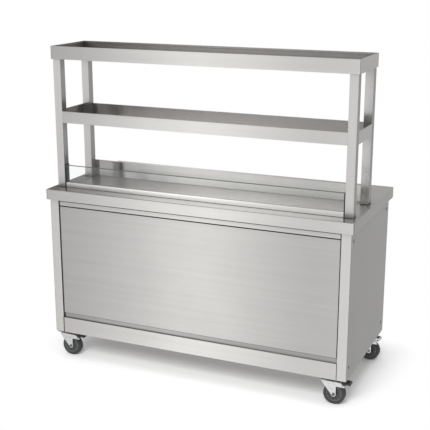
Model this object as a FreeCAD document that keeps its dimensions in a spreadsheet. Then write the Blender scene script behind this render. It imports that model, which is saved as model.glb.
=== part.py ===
import FreeCAD, Part
import os
import Sketcher
from types import SimpleNamespace

# Driving sizes in millimetres
SIZES = {
    # Counter top, a folded deck with a rim all round
    "counter_length": 1500.0,
    "counter_depth": 700.0,
    "deck_height": 860.0,
    "rim_height": 50.0,
    "deck_sheet": 1.5,
    "rim_corner": 4.0,
    "rim_edge": 2.5,
    # Display floor, pressed into the deck between the glass and the guard
    "display_press": 1.0,
    "display_margin": 4.0,
    # Back guard on the deck, behind the overshelf
    "guard_height": 77.0,
    "guard_sheet": 1.2,
    "guard_foot": 20.0,
    "guard_hem": 10.0,
    # Cabinet frame under the top
    "front_overhang": 14.0,
    "end_overhang": 12.0,
    "rear_overhang": 36.0,
    "post_width": 42.5,
    "post_depth": 60.0,
    "tube_wall": 1.5,
    "base_height": 77.0,
    "front_base_depth": 40.0,
    "side_base_width": 25.0,
    "rail_seam": 0.8,
    "rail_drop": 28.0,
    "top_rail_depth": 20.0,
    # Front panel with its stops and the ledge below it
    "panel_gap": 5.0,
    "panel_recess": 4.0,
    "panel_depth": 18.0,
    "panel_sheet": 1.2,
    "stop_width": 20.0,
    "stop_leg": 18.0,
    "stop_sheet": 1.5,
    "ledge_recess": 12.0,
    "ledge_height": 25.0,
    "ledge_skirt": 12.0,
    "ledge_sheet": 1.2,
    # Side panels and their screws
    "side_sheet": 1.5,
    "screw_inset": 40.0,
    "screw_drop": 42.0,
    "screw_rise": 54.0,
    "screw_radius": 2.5,
    "screw_hole_clear": 0.3,
    "screw_head_radius": 5.0,
    "screw_head": 2.4,
    "screw_length": 14.0,
    # Cabinet floor and the shelf inside
    "floor_sheet": 1.2,
    "shelf_rise": 245.0,
    "shelf_sheet": 1.2,
    "shelf_lip": 30.0,
    "shelf_gap": 2.0,
    # Sliding doors on the operator side
    "door_depth": 14.0,
    "door_sheet": 1.0,
    "door_setback": 6.0,
    "door_gap": 6.0,
    "door_overlap": 40.0,
    "door_end_clear": 1.0,
    "door_lift": 0.3,
    "door_headroom": 6.0,
    "track_base": 2.0,
    "track_lip": 1.5,
    "track_clear": 0.6,
    "track_margin": 8.0,
    "lower_rib": 12.0,
    "upper_rib": 20.0,
    "pull_width": 30.0,
    "pull_height": 110.0,
    "pull_depth": 10.0,
    "pull_inset": 60.0,
    # Overshelf on four square tubes
    "shelf_setback": 71.0,
    "overshelf_depth": 286.0,
    "overshelf_height": 606.0,
    "upright_size": 38.0,
    "upright_inset": 24.0,
    "foot_pad": 2.0,
    "foot_margin": 1.0,
    "tray_sheet": 1.2,
    "tray_fit": 0.1,
    "hem_width": 4.0,
    "hem_drop": 9.0,
    "middle_rise": 310.0,
    "middle_rim": 54.0,
    "top_rim": 60.0,
    "top_overhang": 6.0,
    # Glass guard in a channel, with a seal at each end
    "glass_height": 106.0,
    "glass_thickness": 6.0,
    "glass_setback": 2.0,
    "seal_cover": 2.0,
    "channel_height": 24.0,
    "channel_wall": 1.2,
    "channel_base": 2.0,
    "seal_width": 6.0,
    "seal_grip": 3.0,
    # Casters
    "caster_inset": 60.0,
    "pad_size": 110.0,
    "pad_thickness": 6.0,
    "plate_size": 92.0,
    "plate_thickness": 3.0,
    "plate_corner": 10.0,
    "bolt_pitch": 68.0,
    "bolt_radius": 4.0,
    "bolt_hole_clear": 0.3,
    "bolt_head_radius": 7.0,
    "bolt_head": 4.0,
    "bolt_end": 1.0,
    "run_fit": 0.05,
    "race_radius": 26.0,
    "race_height": 6.0,
    "bearing_gap": 0.3,
    "boss_radius": 20.0,
    "boss_height": 2.5,
    "kingpin_radius": 6.0,
    "kingpin_head_radius": 10.0,
    "kingpin_head": 5.0,
    "wheel_diameter": 100.0,
    "wheel_clear": 16.2,
    "tyre_width": 32.0,
    "tyre_depth": 14.0,
    "tyre_round": 6.0,
    "rim_width": 26.0,
    "rim_wall": 5.0,
    "web_thickness": 10.0,
    "hub_radius": 12.0,
    "hub_clear": 0.3,
    "axle_radius": 4.0,
    "axle_head_radius": 7.0,
    "axle_head": 4.0,
    "fork_gap": 3.5,
    "fork_sheet": 3.0,
    "fork_trail": 16.0,
    "fork_half": 30.0,
    "fork_side": 14.0,
    "fork_reach": 56.0,
    "crown_thickness": 4.0,
    "leg_round": 11.0,
    "brim_drop": 10.0,
    "brim_tip": 6.0,
    # Brake pedal
    "pedal_ahead": 26.0,
    "pedal_lift": 2.0,
    "pedal_pin": 2.5,
    "pedal_eye": 4.5,
    "pedal_side_clear": 1.0,
    "pedal_back": 4.0,
    "pedal_reach": 29.0,
    "tread_above": 0.8,
    "tread_slope": 7.0,
    "tread_thickness": 4.0,
    "shoe_back": 1.0,
    "shoe_drop": 4.9,
    "shoe_radius": 2.5,
    "shoe_width": 24.0,
    # Front casters: a lower, wider fork with the wheel set back and a longer pedal
    "front_trail": 6.0,
    "front_clear": 7.2,
    "front_back": 62.0,
    "front_side": 6.0,
    "front_half": 22.0,
    "front_reach": 44.0,
    "front_pedal_ahead": 40.0,
    "front_pedal_drop": 3.5,
    "front_pedal_back": 3.0,
    "front_pedal_reach": 36.0,
    "front_shoe_back": 3.05,
    "front_shoe_drop": 6.35,
    "front_shoe_radius": 4.0,
}

doc = FreeCAD.newDocument("juice_counter")
sheet = doc.addObject("Spreadsheet::Sheet", "Sizes")
for row, (alias, number) in enumerate(SIZES.items(), start=1):
    sheet.set(f"A{row}", alias)
    sheet.set(f"B{row}", str(number))
    sheet.setAlias(f"B{row}", alias)
doc.recompute()


class Term:
    """A length as a number and as the sheet formula that gives it."""

    def __init__(self, number, text):
        self.number = number
        self.text = text

    def __add__(self, other):
        other = term(other)
        return Term(self.number + other.number, f"({self.text} + {other.text})")

    def __radd__(self, other):
        return term(other) + self

    def __sub__(self, other):
        other = term(other)
        return Term(self.number - other.number, f"({self.text} - {other.text})")

    def __rsub__(self, other):
        return term(other) - self

    def __mul__(self, factor):
        return Term(self.number * factor, f"({self.text} * {factor})")

    def __rmul__(self, factor):
        return self * factor

    def __truediv__(self, divisor):
        return Term(self.number / divisor, f"({self.text} / {divisor})")

    def __neg__(self):
        return Term(-self.number, f"(-1 * {self.text})")


def term(value):
    if isinstance(value, Term):
        return value
    return Term(float(value), repr(float(value)))


size = SimpleNamespace(**{name: Term(number, f"Sizes.{name}") for name, number in SIZES.items()})
zero = term(0.0)
nodes = []


# Sketch and feature helpers

def bind(item, path, length):
    item.setExpression(path, term(length).text)


def place(item, x, y, z, rotation=None):
    x, y, z = term(x), term(y), term(z)
    base = FreeCAD.Vector(x.number, y.number, z.number)
    item.Placement = FreeCAD.Placement(base, rotation or FreeCAD.Rotation())
    bind(item, ".Placement.Base.x", x)
    bind(item, ".Placement.Base.y", y)
    bind(item, ".Placement.Base.z", z)


def new_body(label):
    body = doc.addObject("PartDesign::Body", label)
    body.Label = label
    return body


def new_sketch(body, role, level=None):
    sketch = body.newObject("Sketcher::SketchObject", body.Name + "_sketch")
    plane = next(item for item in body.Origin.OriginFeatures if item.Role == role)
    sketch.AttachmentSupport = [(plane, "")]
    sketch.MapMode = "FlatFace"
    if level is not None:
        offset = FreeCAD.Vector(0, 0, term(level).number)
        sketch.AttachmentOffset = FreeCAD.Placement(offset, FreeCAD.Rotation())
        bind(sketch, ".AttachmentOffset.Base.z", level)
    return sketch


def hold(sketch, kind, geometry, point, length):
    length = term(length)
    index = sketch.addConstraint(Sketcher.Constraint(kind, -1, 1, geometry, point, length.number))
    bind(sketch, f"Constraints[{index}]", length)


def draw_polygon(sketch, corners):
    corners = [(term(x), term(y)) for x, y in corners]
    ends = corners[1:] + corners[:1]
    lines = []
    for (x1, y1), (x2, y2) in zip(corners, ends):
        start = FreeCAD.Vector(x1.number, y1.number, 0)
        end = FreeCAD.Vector(x2.number, y2.number, 0)
        lines.append(sketch.addGeometry(Part.LineSegment(start, end), False))
    for line, following in zip(lines, lines[1:] + lines[:1]):
        sketch.addConstraint(Sketcher.Constraint("Coincident", line, 2, following, 1))
    for line, (x, y) in zip(lines, corners):
        hold(sketch, "DistanceX", line, 1, x)
        hold(sketch, "DistanceY", line, 1, y)


def draw_rectangle(sketch, x1, x2, y1, y2):
    draw_polygon(sketch, [(x1, y1), (x2, y1), (x2, y2), (x1, y2)])


def draw_circle(sketch, x, y, radius):
    x, y, radius = term(x), term(y), term(radius)
    centre = FreeCAD.Vector(x.number, y.number, 0)
    circle = sketch.addGeometry(Part.Circle(centre, FreeCAD.Vector(0, 0, 1), radius.number), False)
    hold(sketch, "DistanceX", circle, 3, x)
    hold(sketch, "DistanceY", circle, 3, y)
    index = sketch.addConstraint(Sketcher.Constraint("Radius", circle, radius.number))
    bind(sketch, f"Constraints[{index}]", radius)


def pad(body, sketch, length, both=False, reverse=False):
    feature = body.newObject("PartDesign::Pad", body.Name + "_pad")
    feature.Profile = sketch
    feature.SideType = "Symmetric" if both else "One side"
    feature.Reversed = reverse
    bind(feature, "Length", length)
    doc.recompute()
    return feature


def pocket(body, sketch, length=None, both=False, upward=False):
    before = body.Shape.Volume
    feature = body.newObject("PartDesign::Pocket", body.Name + "_pocket")
    feature.Profile = sketch
    feature.SideType = "Symmetric" if both else "One side"
    feature.Reversed = upward
    if length is None:
        feature.Type = "ThroughAll"
    else:
        bind(feature, "Length", length)
    doc.recompute()
    if not body.Shape.Volume < before - 1e-6:
        raise RuntimeError(f"{feature.Name} cuts nothing")
    return feature


def upright_edges(body, half_x, half_y):
    """Names of the body's vertical edges that stand at the corners of a rectangle."""
    names = []
    for number, edge in enumerate(body.Tip.Shape.Edges, start=1):
        points = [vertex.Point for vertex in edge.Vertexes]
        if len(points) != 2 or abs(points[0].x - points[1].x) > 1e-6:
            continue
        if abs(points[0].y - points[1].y) > 1e-6:
            continue
        off_x = abs(abs(points[0].x) - term(half_x).number)
        off_y = abs(abs(points[0].y) - term(half_y).number)
        if off_x < 1e-4 and off_y < 1e-4:
            names.append(f"Edge{number}")
    return names


def level_edges(body, level):
    """Names of the body's edges that lie in the horizontal plane at a height."""
    names = []
    for number, edge in enumerate(body.Tip.Shape.Edges, start=1):
        box = edge.BoundBox
        if abs(box.ZMin - term(level).number) < 1e-4 and abs(box.ZMax - term(level).number) < 1e-4:
            names.append(f"Edge{number}")
    return names


def round_edges(body, names, radius):
    feature = body.newObject("PartDesign::Fillet", body.Name + "_round")
    feature.Base = (body.Tip if body.Tip != feature else feature.BaseFeature, names)
    bind(feature, "Radius", radius)
    body.Tip = feature
    doc.recompute()
    return feature


def keep(item):
    nodes.append(item)
    return item


def prism(label, role, corners, length, at, both=False, reverse=False):
    body = new_body(label)
    sketch = new_sketch(body, role)
    draw_polygon(sketch, corners)
    pad(body, sketch, length, both, reverse)
    place(body, *at)
    return body


def tube(label, role, half_a, half_b, length, at, both=False):
    body = new_body(label)
    sketch = new_sketch(body, role)
    draw_rectangle(sketch, -half_a, half_a, -half_b, half_b)
    inner_a = half_a - size.tube_wall
    inner_b = half_b - size.tube_wall
    draw_rectangle(sketch, -inner_a, inner_a, -inner_b, inner_b)
    pad(body, sketch, length, both)
    place(body, *at)
    return body


def block(label, x1, x2, y1, y2, z1, z2):
    item = doc.addObject("Part::Box", label)
    item.Label = label
    bind(item, "Length", x2 - x1)
    bind(item, "Width", y2 - y1)
    bind(item, "Height", z2 - z1)
    place(item, x1, y1, z1)
    return item


def round_bar(label, radius, length, x, y, z, rotation=None):
    item = doc.addObject("Part::Cylinder", label)
    item.Label = label
    bind(item, "Radius", radius)
    bind(item, "Height", length)
    place(item, x, y, z, rotation)
    return item


def fuse(label, first, second):
    item = doc.addObject("Part::Fuse", label)
    item.Label = label
    item.Base = first
    item.Tool = second
    return item


def group(label, items):
    item = doc.addObject("Part::Compound", label)
    item.Label = label
    item.Links = items
    return item


# Levels and faces that the pieces share

half_length = size.counter_length / 2
half_depth = size.counter_depth / 2
deck_under = size.deck_height - size.deck_sheet
cabinet_half = half_length - size.end_overhang
frame_half = cabinet_half - size.side_sheet
cabinet_front = size.front_overhang - half_depth
cabinet_rear = half_depth - size.rear_overhang
post_inner = frame_half - size.post_width

crown_under = size.wheel_diameter + size.wheel_clear
crown_top = crown_under + size.crown_thickness
race_under = crown_top + size.boss_height + size.bearing_gap
plate_under = race_under + size.race_height
plate_top = plate_under + size.plate_thickness
cabinet_base = plate_top + size.pad_thickness
base_top = cabinet_base + size.base_height
post_height = deck_under - cabinet_base

panel_half = post_inner - size.panel_gap
panel_front = cabinet_front + size.panel_recess
panel_back = panel_front + size.panel_depth
panel_bottom = base_top + size.ledge_height
rail_under = size.deck_height - size.rim_height - size.rail_drop
panel_top = rail_under - size.panel_gap

outer_door_rear = cabinet_rear - size.door_setback
outer_door_front = outer_door_rear - size.door_depth
inner_door_rear = outer_door_front - size.door_gap
inner_door_front = inner_door_rear - size.door_depth
track_front = inner_door_front - size.track_clear - size.track_lip - size.track_margin
rear_base_depth = cabinet_rear - track_front
door_end = post_inner - size.door_end_clear
door_width = door_end + size.door_overlap / 2
door_bottom = base_top + size.track_base + size.door_lift
door_top = rail_under - size.track_base - size.door_headroom

upright_outer = half_length - size.upright_inset
upright_inner = upright_outer - size.upright_size
shelf_front = size.shelf_setback - half_depth
shelf_rear = shelf_front + size.overshelf_depth
shelf_mid = (shelf_front + shelf_rear) / 2
middle_under = size.deck_height + size.middle_rise
top_under = size.deck_height + size.overshelf_height
seal_depth = size.glass_thickness + 2 * size.seal_cover
seal_front = shelf_front + size.glass_setback
guard_front = shelf_rear + size.foot_margin
foot_end = upright_inner - size.foot_margin

corners = [("front_left", -1, -1), ("front_right", 1, -1), ("rear_left", -1, 1), ("rear_right", 1, 1)]


def post_centre(side, end):
    x = side * (frame_half - size.post_width / 2)
    if end < 0:
        return x, cabinet_front + size.post_depth / 2
    return x, cabinet_rear - size.post_depth / 2


def screw_row(end):
    if end < 0:
        return cabinet_front + size.screw_inset
    return cabinet_rear - size.screw_inset


def kingpin_centre(side, end):
    x = side * (cabinet_half - size.caster_inset)
    if end < 0:
        return x, cabinet_front + size.caster_inset
    return x, cabinet_rear - size.caster_inset


screw_low = cabinet_base + size.screw_rise
screw_high = size.deck_height - size.rim_height - size.screw_drop


# Counter top and back guard

def make_counter_top():
    body = new_body("counter_top")
    outline = new_sketch(body, "XY_Plane")
    draw_rectangle(outline, -half_length, half_length, -half_depth, half_depth)
    pad(body, outline, size.rim_height)
    under = new_sketch(body, "XY_Plane")
    inner_length = half_length - size.deck_sheet
    inner_depth = half_depth - size.deck_sheet
    draw_rectangle(under, -inner_length, inner_length, -inner_depth, inner_depth)
    pocket(body, under, size.rim_height - size.deck_sheet, upward=True)
    round_edges(body, upright_edges(body, inner_length, inner_depth), size.rim_corner - size.deck_sheet)
    round_edges(body, upright_edges(body, half_length, half_depth), size.rim_corner)
    round_edges(body, level_edges(body, size.rim_height), size.rim_edge)
    floor_half = foot_end - size.display_margin
    floor_front = seal_front + seal_depth + size.display_margin
    floor_rear = guard_front - size.display_margin
    gauge = size.deck_sheet
    swell = new_sketch(body, "XY_Plane", size.rim_height - gauge)
    draw_rectangle(swell, -floor_half - gauge, floor_half + gauge, floor_front - gauge, floor_rear + gauge)
    pad(body, swell, size.display_press, reverse=True)
    floor = new_sketch(body, "XY_Plane", size.rim_height)
    draw_rectangle(floor, -floor_half, floor_half, floor_front, floor_rear)
    pocket(body, floor, size.display_press)
    place(body, zero, zero, size.deck_height - size.rim_height)
    keep(body)


def make_back_guard():
    gauge = size.guard_sheet
    height = size.guard_height
    outline = [
        (zero, zero), (size.guard_foot, zero), (size.guard_foot, gauge), (gauge, gauge),
        (gauge, height - gauge), (size.guard_hem, height - gauge), (size.guard_hem, height), (zero, height),
    ]
    at = (zero, guard_front, size.deck_height)
    keep(prism("back_guard", "YZ_Plane", outline, upright_outer * 2, at, both=True))


# Cabinet frame

def make_posts():
    for name, side, end in corners:
        x, y = post_centre(side, end)
        half_a = size.post_width / 2
        half_b = size.post_depth / 2
        body = tube("post_" + name, "XY_Plane", half_a, half_b, post_height, (x, y, cabinet_base))
        holes = new_sketch(body, "YZ_Plane")
        for height in (screw_low, screw_high):
            radius = size.screw_radius + size.screw_hole_clear
            draw_circle(holes, screw_row(end) - y, height - cabinet_base, radius)
        pocket(body, holes, size.post_width, upward=side > 0)
        keep(body)


def make_rails():
    rail_height = deck_under - rail_under
    rail_middle = rail_under + rail_height / 2
    keep(tube(
        "top_rail_front", "YZ_Plane", size.top_rail_depth / 2, rail_height / 2, panel_half * 2,
        (zero, panel_front + size.top_rail_depth / 2, rail_middle), both=True,
    ))
    keep(tube(
        "top_rail_rear", "YZ_Plane", size.top_rail_depth / 2, rail_height / 2, post_inner * 2,
        (zero, cabinet_rear - size.top_rail_depth / 2, rail_middle), both=True,
    ))
    wall = size.tube_wall
    depth = size.front_base_depth
    lip = size.ledge_recess
    height = size.base_height
    keep(prism(
        "bottom_rail_front", "YZ_Plane",
        [
            (zero, zero), (depth, zero), (depth, height), (depth - wall, height), (depth - wall, wall),
            (wall, wall), (wall, height - wall), (lip, height - wall), (lip, height), (zero, height),
        ],
        (post_inner - size.rail_seam) * 2, (zero, cabinet_front, cabinet_base), both=True,
    ))
    middle = cabinet_base + size.base_height / 2
    keep(tube(
        "bottom_rail_rear", "YZ_Plane", rear_base_depth / 2, size.base_height / 2, post_inner * 2,
        (zero, cabinet_rear - rear_base_depth / 2, middle), both=True,
    ))
    run = cabinet_rear - cabinet_front - 2 * size.post_depth
    for name, side in (("left", -1), ("right", 1)):
        keep(tube(
            "bottom_rail_" + name, "XZ_Plane", size.side_base_width / 2, size.base_height / 2, run,
            (side * (frame_half - size.side_base_width / 2), (cabinet_front + cabinet_rear) / 2, middle),
            both=True,
        ))


# Front panel, stops and ledge

def make_front_panel():
    body = new_body("front_panel")
    height = panel_top - panel_bottom
    outline = new_sketch(body, "XZ_Plane")
    draw_rectangle(outline, -panel_half, panel_half, zero, height)
    pad(body, outline, size.panel_depth, reverse=True)
    inside = new_sketch(body, "XZ_Plane", -size.panel_sheet)
    inner_half = panel_half - size.panel_sheet
    draw_rectangle(inside, -inner_half, inner_half, size.panel_sheet, height - size.panel_sheet)
    pocket(body, inside, size.panel_depth)
    place(body, zero, panel_front, panel_bottom)
    keep(body)


def make_panel_stops():
    angles = []
    for name, side in (("left", -1), ("right", 1)):
        outer = side * post_inner
        inner = side * (post_inner - size.stop_width)
        leg = side * (post_inner - size.stop_sheet)
        outline = [
            (inner, zero), (outer, zero), (outer, size.stop_leg), (leg, size.stop_leg),
            (leg, size.stop_sheet), (inner, size.stop_sheet),
        ]
        at = (zero, panel_back, panel_bottom)
        angles.append(prism("panel_stop_" + name, "XY_Plane", outline, panel_top - panel_bottom, at))
    keep(group("panel_stops", angles))


def make_ledge():
    front = cabinet_front + size.ledge_recess
    rear = cabinet_front + size.front_base_depth
    low = base_top - size.ledge_skirt
    foot = base_top + size.floor_sheet
    sheet_gauge = size.ledge_sheet
    outline = [
        (front, low), (front + sheet_gauge, low), (front + sheet_gauge, panel_bottom - sheet_gauge),
        (rear - sheet_gauge, panel_bottom - sheet_gauge), (rear - sheet_gauge, foot), (rear, foot),
        (rear, panel_bottom), (front, panel_bottom),
    ]
    keep(prism("ledge_strip", "YZ_Plane", outline, panel_half * 2, (zero, zero, zero), both=True))


# Side panels and screws

def make_side_panels():
    for name, side in (("left", -1), ("right", 1)):
        body = new_body("side_panel_" + name)
        outline = new_sketch(body, "YZ_Plane")
        draw_rectangle(outline, cabinet_front, cabinet_rear, zero, post_height)
        for end in (-1, 1):
            for height in (screw_low, screw_high):
                radius = size.screw_radius + size.screw_hole_clear
                draw_circle(outline, screw_row(end), height - cabinet_base, radius)
        pad(body, outline, size.side_sheet, reverse=side < 0)
        place(body, side * frame_half, zero, cabinet_base)
        keep(body)


def make_side_screws():
    screws = []
    for name, side, end in corners:
        turn = FreeCAD.Rotation(FreeCAD.Vector(0, 1, 0), 90 * side)
        for level, height in (("low", screw_low), ("high", screw_high)):
            label = f"side_screw_{name}_{level}"
            y = screw_row(end)
            start = side * (cabinet_half - size.screw_length)
            head_radius = size.screw_head_radius
            shank = round_bar(
                label + "_shank", size.screw_radius, size.screw_length, start, y, height, turn)
            head = round_bar(
                label + "_head", head_radius, size.screw_head, side * cabinet_half, y, height, turn)
            screws.append(fuse(label, shank, head))
    keep(group("side_panel_screws", screws))


# Cabinet floor and inner shelf

def make_cabinet_floor():
    front = cabinet_front + size.front_base_depth - size.tube_wall
    post_rear = cabinet_front + size.post_depth
    post_front = cabinet_rear - size.post_depth
    outline = [
        (-post_inner, front), (post_inner, front), (post_inner, post_rear), (frame_half, post_rear),
        (frame_half, post_front), (post_inner, post_front), (post_inner, track_front),
        (-post_inner, track_front), (-post_inner, post_front), (-frame_half, post_front),
        (-frame_half, post_rear), (-post_inner, post_rear),
    ]
    keep(prism("cabinet_floor", "XY_Plane", outline, size.floor_sheet, (zero, zero, base_top)))


def make_inner_shelf():
    body = new_body("inner_shelf")
    front = panel_back + size.stop_leg + size.shelf_gap
    rear = track_front - size.shelf_gap
    sheet_gauge = size.shelf_sheet
    outline = new_sketch(body, "XY_Plane")
    draw_rectangle(outline, -post_inner, post_inner, front, rear)
    pad(body, outline, size.shelf_lip)
    under = new_sketch(body, "XY_Plane")
    inner = post_inner - sheet_gauge
    draw_rectangle(under, -inner, inner, front + sheet_gauge, rear - sheet_gauge)
    pocket(body, under, size.shelf_lip - sheet_gauge, upward=True)
    place(body, zero, zero, base_top + size.floor_sheet + size.shelf_rise)
    keep(body)


# Sliding doors and tracks

def track_outline(base_side, base_face, rib_end):
    """Section of a double track: a base with three ribs, in depth and height."""
    gap = size.track_clear
    lip = size.track_lip
    inner_start = inner_door_front - gap - lip
    outer_end = outer_door_rear + gap + lip
    return [
        (track_front, base_side), (cabinet_rear, base_side), (cabinet_rear, base_face),
        (outer_end, base_face), (outer_end, rib_end), (outer_end - lip, rib_end),
        (outer_end - lip, base_face), (outer_door_front - gap, base_face),
        (outer_door_front - gap, rib_end), (inner_door_rear + gap, rib_end),
        (inner_door_rear + gap, base_face), (inner_start + lip, base_face),
        (inner_start + lip, rib_end), (inner_start, rib_end), (inner_start, base_face),
        (track_front, base_face),
    ]


def make_tracks():
    low_face = base_top + size.track_base
    low = track_outline(base_top, low_face, low_face + size.lower_rib)
    high_face = rail_under - size.track_base
    high = track_outline(rail_under, high_face, high_face - size.upper_rib)
    at = (zero, zero, zero)
    tracks = []
    for name, outline in (("bottom", low), ("top", high)):
        tracks.append(prism("door_track_" + name, "YZ_Plane", outline, post_inner * 2, at, both=True))
    keep(group("door_tracks", tracks))


def make_doors():
    height = door_top - door_bottom
    gauge = size.door_sheet
    for name, side, rear in (("left", -1, inner_door_rear), ("right", 1, outer_door_rear)):
        body = new_body("door_" + name)
        outline = new_sketch(body, "XZ_Plane")
        draw_rectangle(outline, -door_width / 2, door_width / 2, zero, height)
        pad(body, outline, size.door_depth)
        inside = new_sketch(body, "XZ_Plane", gauge)
        inner = door_width / 2 - gauge
        draw_rectangle(inside, -inner, inner, gauge, height - gauge)
        pocket(body, inside, size.door_depth, upward=True)
        pull_x = side * (door_width / 2 - size.pull_inset)
        half_x = size.pull_width / 2
        half_z = size.pull_height / 2
        cup = new_sketch(body, "XZ_Plane")
        draw_rectangle(
            cup, pull_x - half_x - gauge, pull_x + half_x + gauge,
            height / 2 - half_z - gauge, height / 2 + half_z + gauge)
        pad(body, cup, size.pull_depth + gauge)
        hollow = new_sketch(body, "XZ_Plane")
        draw_rectangle(hollow, pull_x - half_x, pull_x + half_x, height / 2 - half_z, height / 2 + half_z)
        pocket(body, hollow, size.pull_depth, upward=True)
        place(body, side * (door_end - door_width / 2), rear, door_bottom)
        keep(body)


# Overshelf

def make_uprights():
    half = size.upright_size / 2
    height = size.overshelf_height - size.foot_pad
    pads = []
    for name, side, end in corners:
        x = side * (upright_outer - half)
        y = shelf_front + half if end < 0 else shelf_rear - half
        at = (x, y, size.deck_height + size.foot_pad)
        keep(tube("upright_" + name, "XY_Plane", half, half, height, at))
        reach = half + size.foot_margin
        pads.append(block(
            "foot_pad_" + name, x - reach, x + reach, y - reach, y + reach,
            size.deck_height, size.deck_height + size.foot_pad))
    keep(group("upright_foot_pads", pads))


def make_tray(label, overhang, rim, level, notched):
    body = new_body(label)
    half_x = upright_outer + overhang
    half_y = size.overshelf_depth / 2 + overhang
    gauge = size.tray_sheet
    outline = new_sketch(body, "XY_Plane")
    draw_rectangle(outline, -half_x, half_x, -half_y, half_y)
    pad(body, outline, rim)
    inside = new_sketch(body, "XY_Plane", gauge)
    draw_rectangle(inside, gauge - half_x, half_x - gauge, gauge - half_y, half_y - gauge)
    pocket(body, inside, rim - gauge - size.hem_drop, upward=True)
    mouth = new_sketch(body, "XY_Plane", rim)
    hem = size.hem_width
    draw_rectangle(mouth, hem - half_x, half_x - hem, hem - half_y, half_y - hem)
    pocket(body, mouth, size.hem_drop)
    if notched:
        notch = size.upright_size + size.tray_fit
        slots = new_sketch(body, "XY_Plane")
        for side_x in (-1, 1):
            for side_y in (-1, 1):
                draw_polygon(slots, [
                    (side_x * (half_x - notch), side_y * (half_y - notch)),
                    (side_x * (half_x + notch), side_y * (half_y - notch)),
                    (side_x * (half_x + notch), side_y * (half_y + notch)),
                    (side_x * (half_x - notch), side_y * (half_y + notch)),
                ])
        pocket(body, slots, upward=True)
    place(body, zero, shelf_mid, level)
    keep(body)


def make_trays():
    make_tray("middle_shelf", zero, size.middle_rim, middle_under, True)
    make_tray("top_shelf", size.top_overhang, size.top_rim, top_under, False)


def make_glass():
    seal_mid = seal_front + seal_depth / 2
    glass_half = upright_inner - size.seal_width + size.seal_grip
    foot = size.deck_height + size.channel_base
    glass_top = foot + size.glass_height
    half_gauge = size.glass_thickness / 2
    keep(block(
        "glass_guard", -glass_half, glass_half,
        seal_mid - half_gauge, seal_mid + half_gauge, foot, glass_top))
    inner = upright_inner - size.seal_width
    half = seal_depth / 2
    wall = half - size.channel_wall
    outline = [
        (-half, zero), (half, zero), (half, size.channel_height), (wall, size.channel_height),
        (wall, size.channel_base), (-wall, size.channel_base), (-wall, size.channel_height),
        (-half, size.channel_height),
    ]
    at = (zero, seal_mid, size.deck_height)
    keep(prism("glass_channel", "YZ_Plane", outline, inner * 2, at, both=True))
    height = size.channel_base + size.glass_height
    seals = []
    for name, side in (("left", -1), ("right", 1)):
        outline = [
            (side * inner, zero), (side * foot_end, zero), (side * foot_end, size.foot_pad),
            (side * upright_inner, size.foot_pad), (side * upright_inner, height), (side * inner, height),
        ]
        seal = prism("glass_seal_" + name, "XZ_Plane", outline, seal_depth, at, both=True)
        groove = new_sketch(seal, "XZ_Plane")
        draw_rectangle(groove, side * inner, side * glass_half, size.channel_base, height)
        pocket(seal, groove, size.glass_thickness, both=True)
        seals.append(seal)
    keep(group("glass_seal", seals))


# Casters

axle_level = size.wheel_diameter / 2
leg_inner = size.tyre_width / 2 + size.fork_gap
leg_outer = leg_inner + size.fork_sheet
half_pitch = size.bolt_pitch / 2
rear_caster = SimpleNamespace(
    trail=size.fork_trail, crown_under=crown_under, back=size.fork_half, side=size.fork_side,
    half=size.fork_half, reach=size.fork_reach, pedal_x=size.fork_trail + size.pedal_ahead,
    pedal_z=size.wheel_diameter + size.pedal_lift, pedal_back=size.pedal_back,
    pedal_reach=size.pedal_reach, shoe_back=size.shoe_back, shoe_drop=size.shoe_drop,
    shoe_radius=size.shoe_radius)
front_caster = SimpleNamespace(
    trail=-size.front_trail, crown_under=size.wheel_diameter + size.front_clear, back=size.front_back,
    side=size.front_side, half=size.front_half, reach=size.front_reach,
    pedal_x=size.front_pedal_ahead - size.front_trail, pedal_z=size.wheel_diameter - size.front_pedal_drop,
    pedal_back=size.front_pedal_back, pedal_reach=size.front_pedal_reach, shoe_back=size.front_shoe_back,
    shoe_drop=size.front_shoe_drop, shoe_radius=size.front_shoe_radius)


def caster_kind(name):
    return front_caster if name.startswith("front") else rear_caster


def bolt_places():
    return [(a * half_pitch, b * half_pitch) for a in (-1, 1) for b in (-1, 1)]


def make_caster_pads():
    pads = []
    for name, side, end in corners:
        x, y = kingpin_centre(side, end)
        body = new_body("caster_pad_" + name)
        outline = new_sketch(body, "XY_Plane")
        half = size.pad_size / 2
        draw_rectangle(outline, -half, half, -half, half)
        for a, b in bolt_places():
            draw_circle(outline, a, b, size.bolt_radius + size.run_fit)
        pad(body, outline, size.pad_thickness)
        place(body, x, y, plate_top)
        pads.append(body)
    keep(group("caster_pads", pads))


def make_caster_bolts():
    bolts = []
    shank_length = size.plate_thickness + size.pad_thickness - size.bolt_end
    for name, side, end in corners:
        x, y = kingpin_centre(side, end)
        for number, (a, b) in enumerate(bolt_places(), start=1):
            label = f"caster_bolt_{name}_{number}"
            shank = round_bar(label + "_shank", size.bolt_radius, shank_length, x + a, y + b, plate_under)
            head = round_bar(
                label + "_head", size.bolt_head_radius, size.bolt_head, x + a, y + b,
                plate_under - size.bolt_head)
            bolts.append(fuse(label, shank, head))
    keep(group("caster_bolts", bolts))


def make_kingpins():
    pins = []
    for name, side, end in corners:
        x, y = kingpin_centre(side, end)
        head_top = caster_kind(name).crown_under - size.bearing_gap
        label = "kingpin_" + name
        shaft = round_bar(label + "_shaft", size.kingpin_radius, plate_top - head_top, x, y, head_top)
        head = round_bar(
            label + "_head", size.kingpin_head_radius, size.kingpin_head, x, y,
            head_top - size.kingpin_head)
        pins.append(fuse(label, shaft, head))
    keep(group("caster_kingpins", pins))


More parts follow.
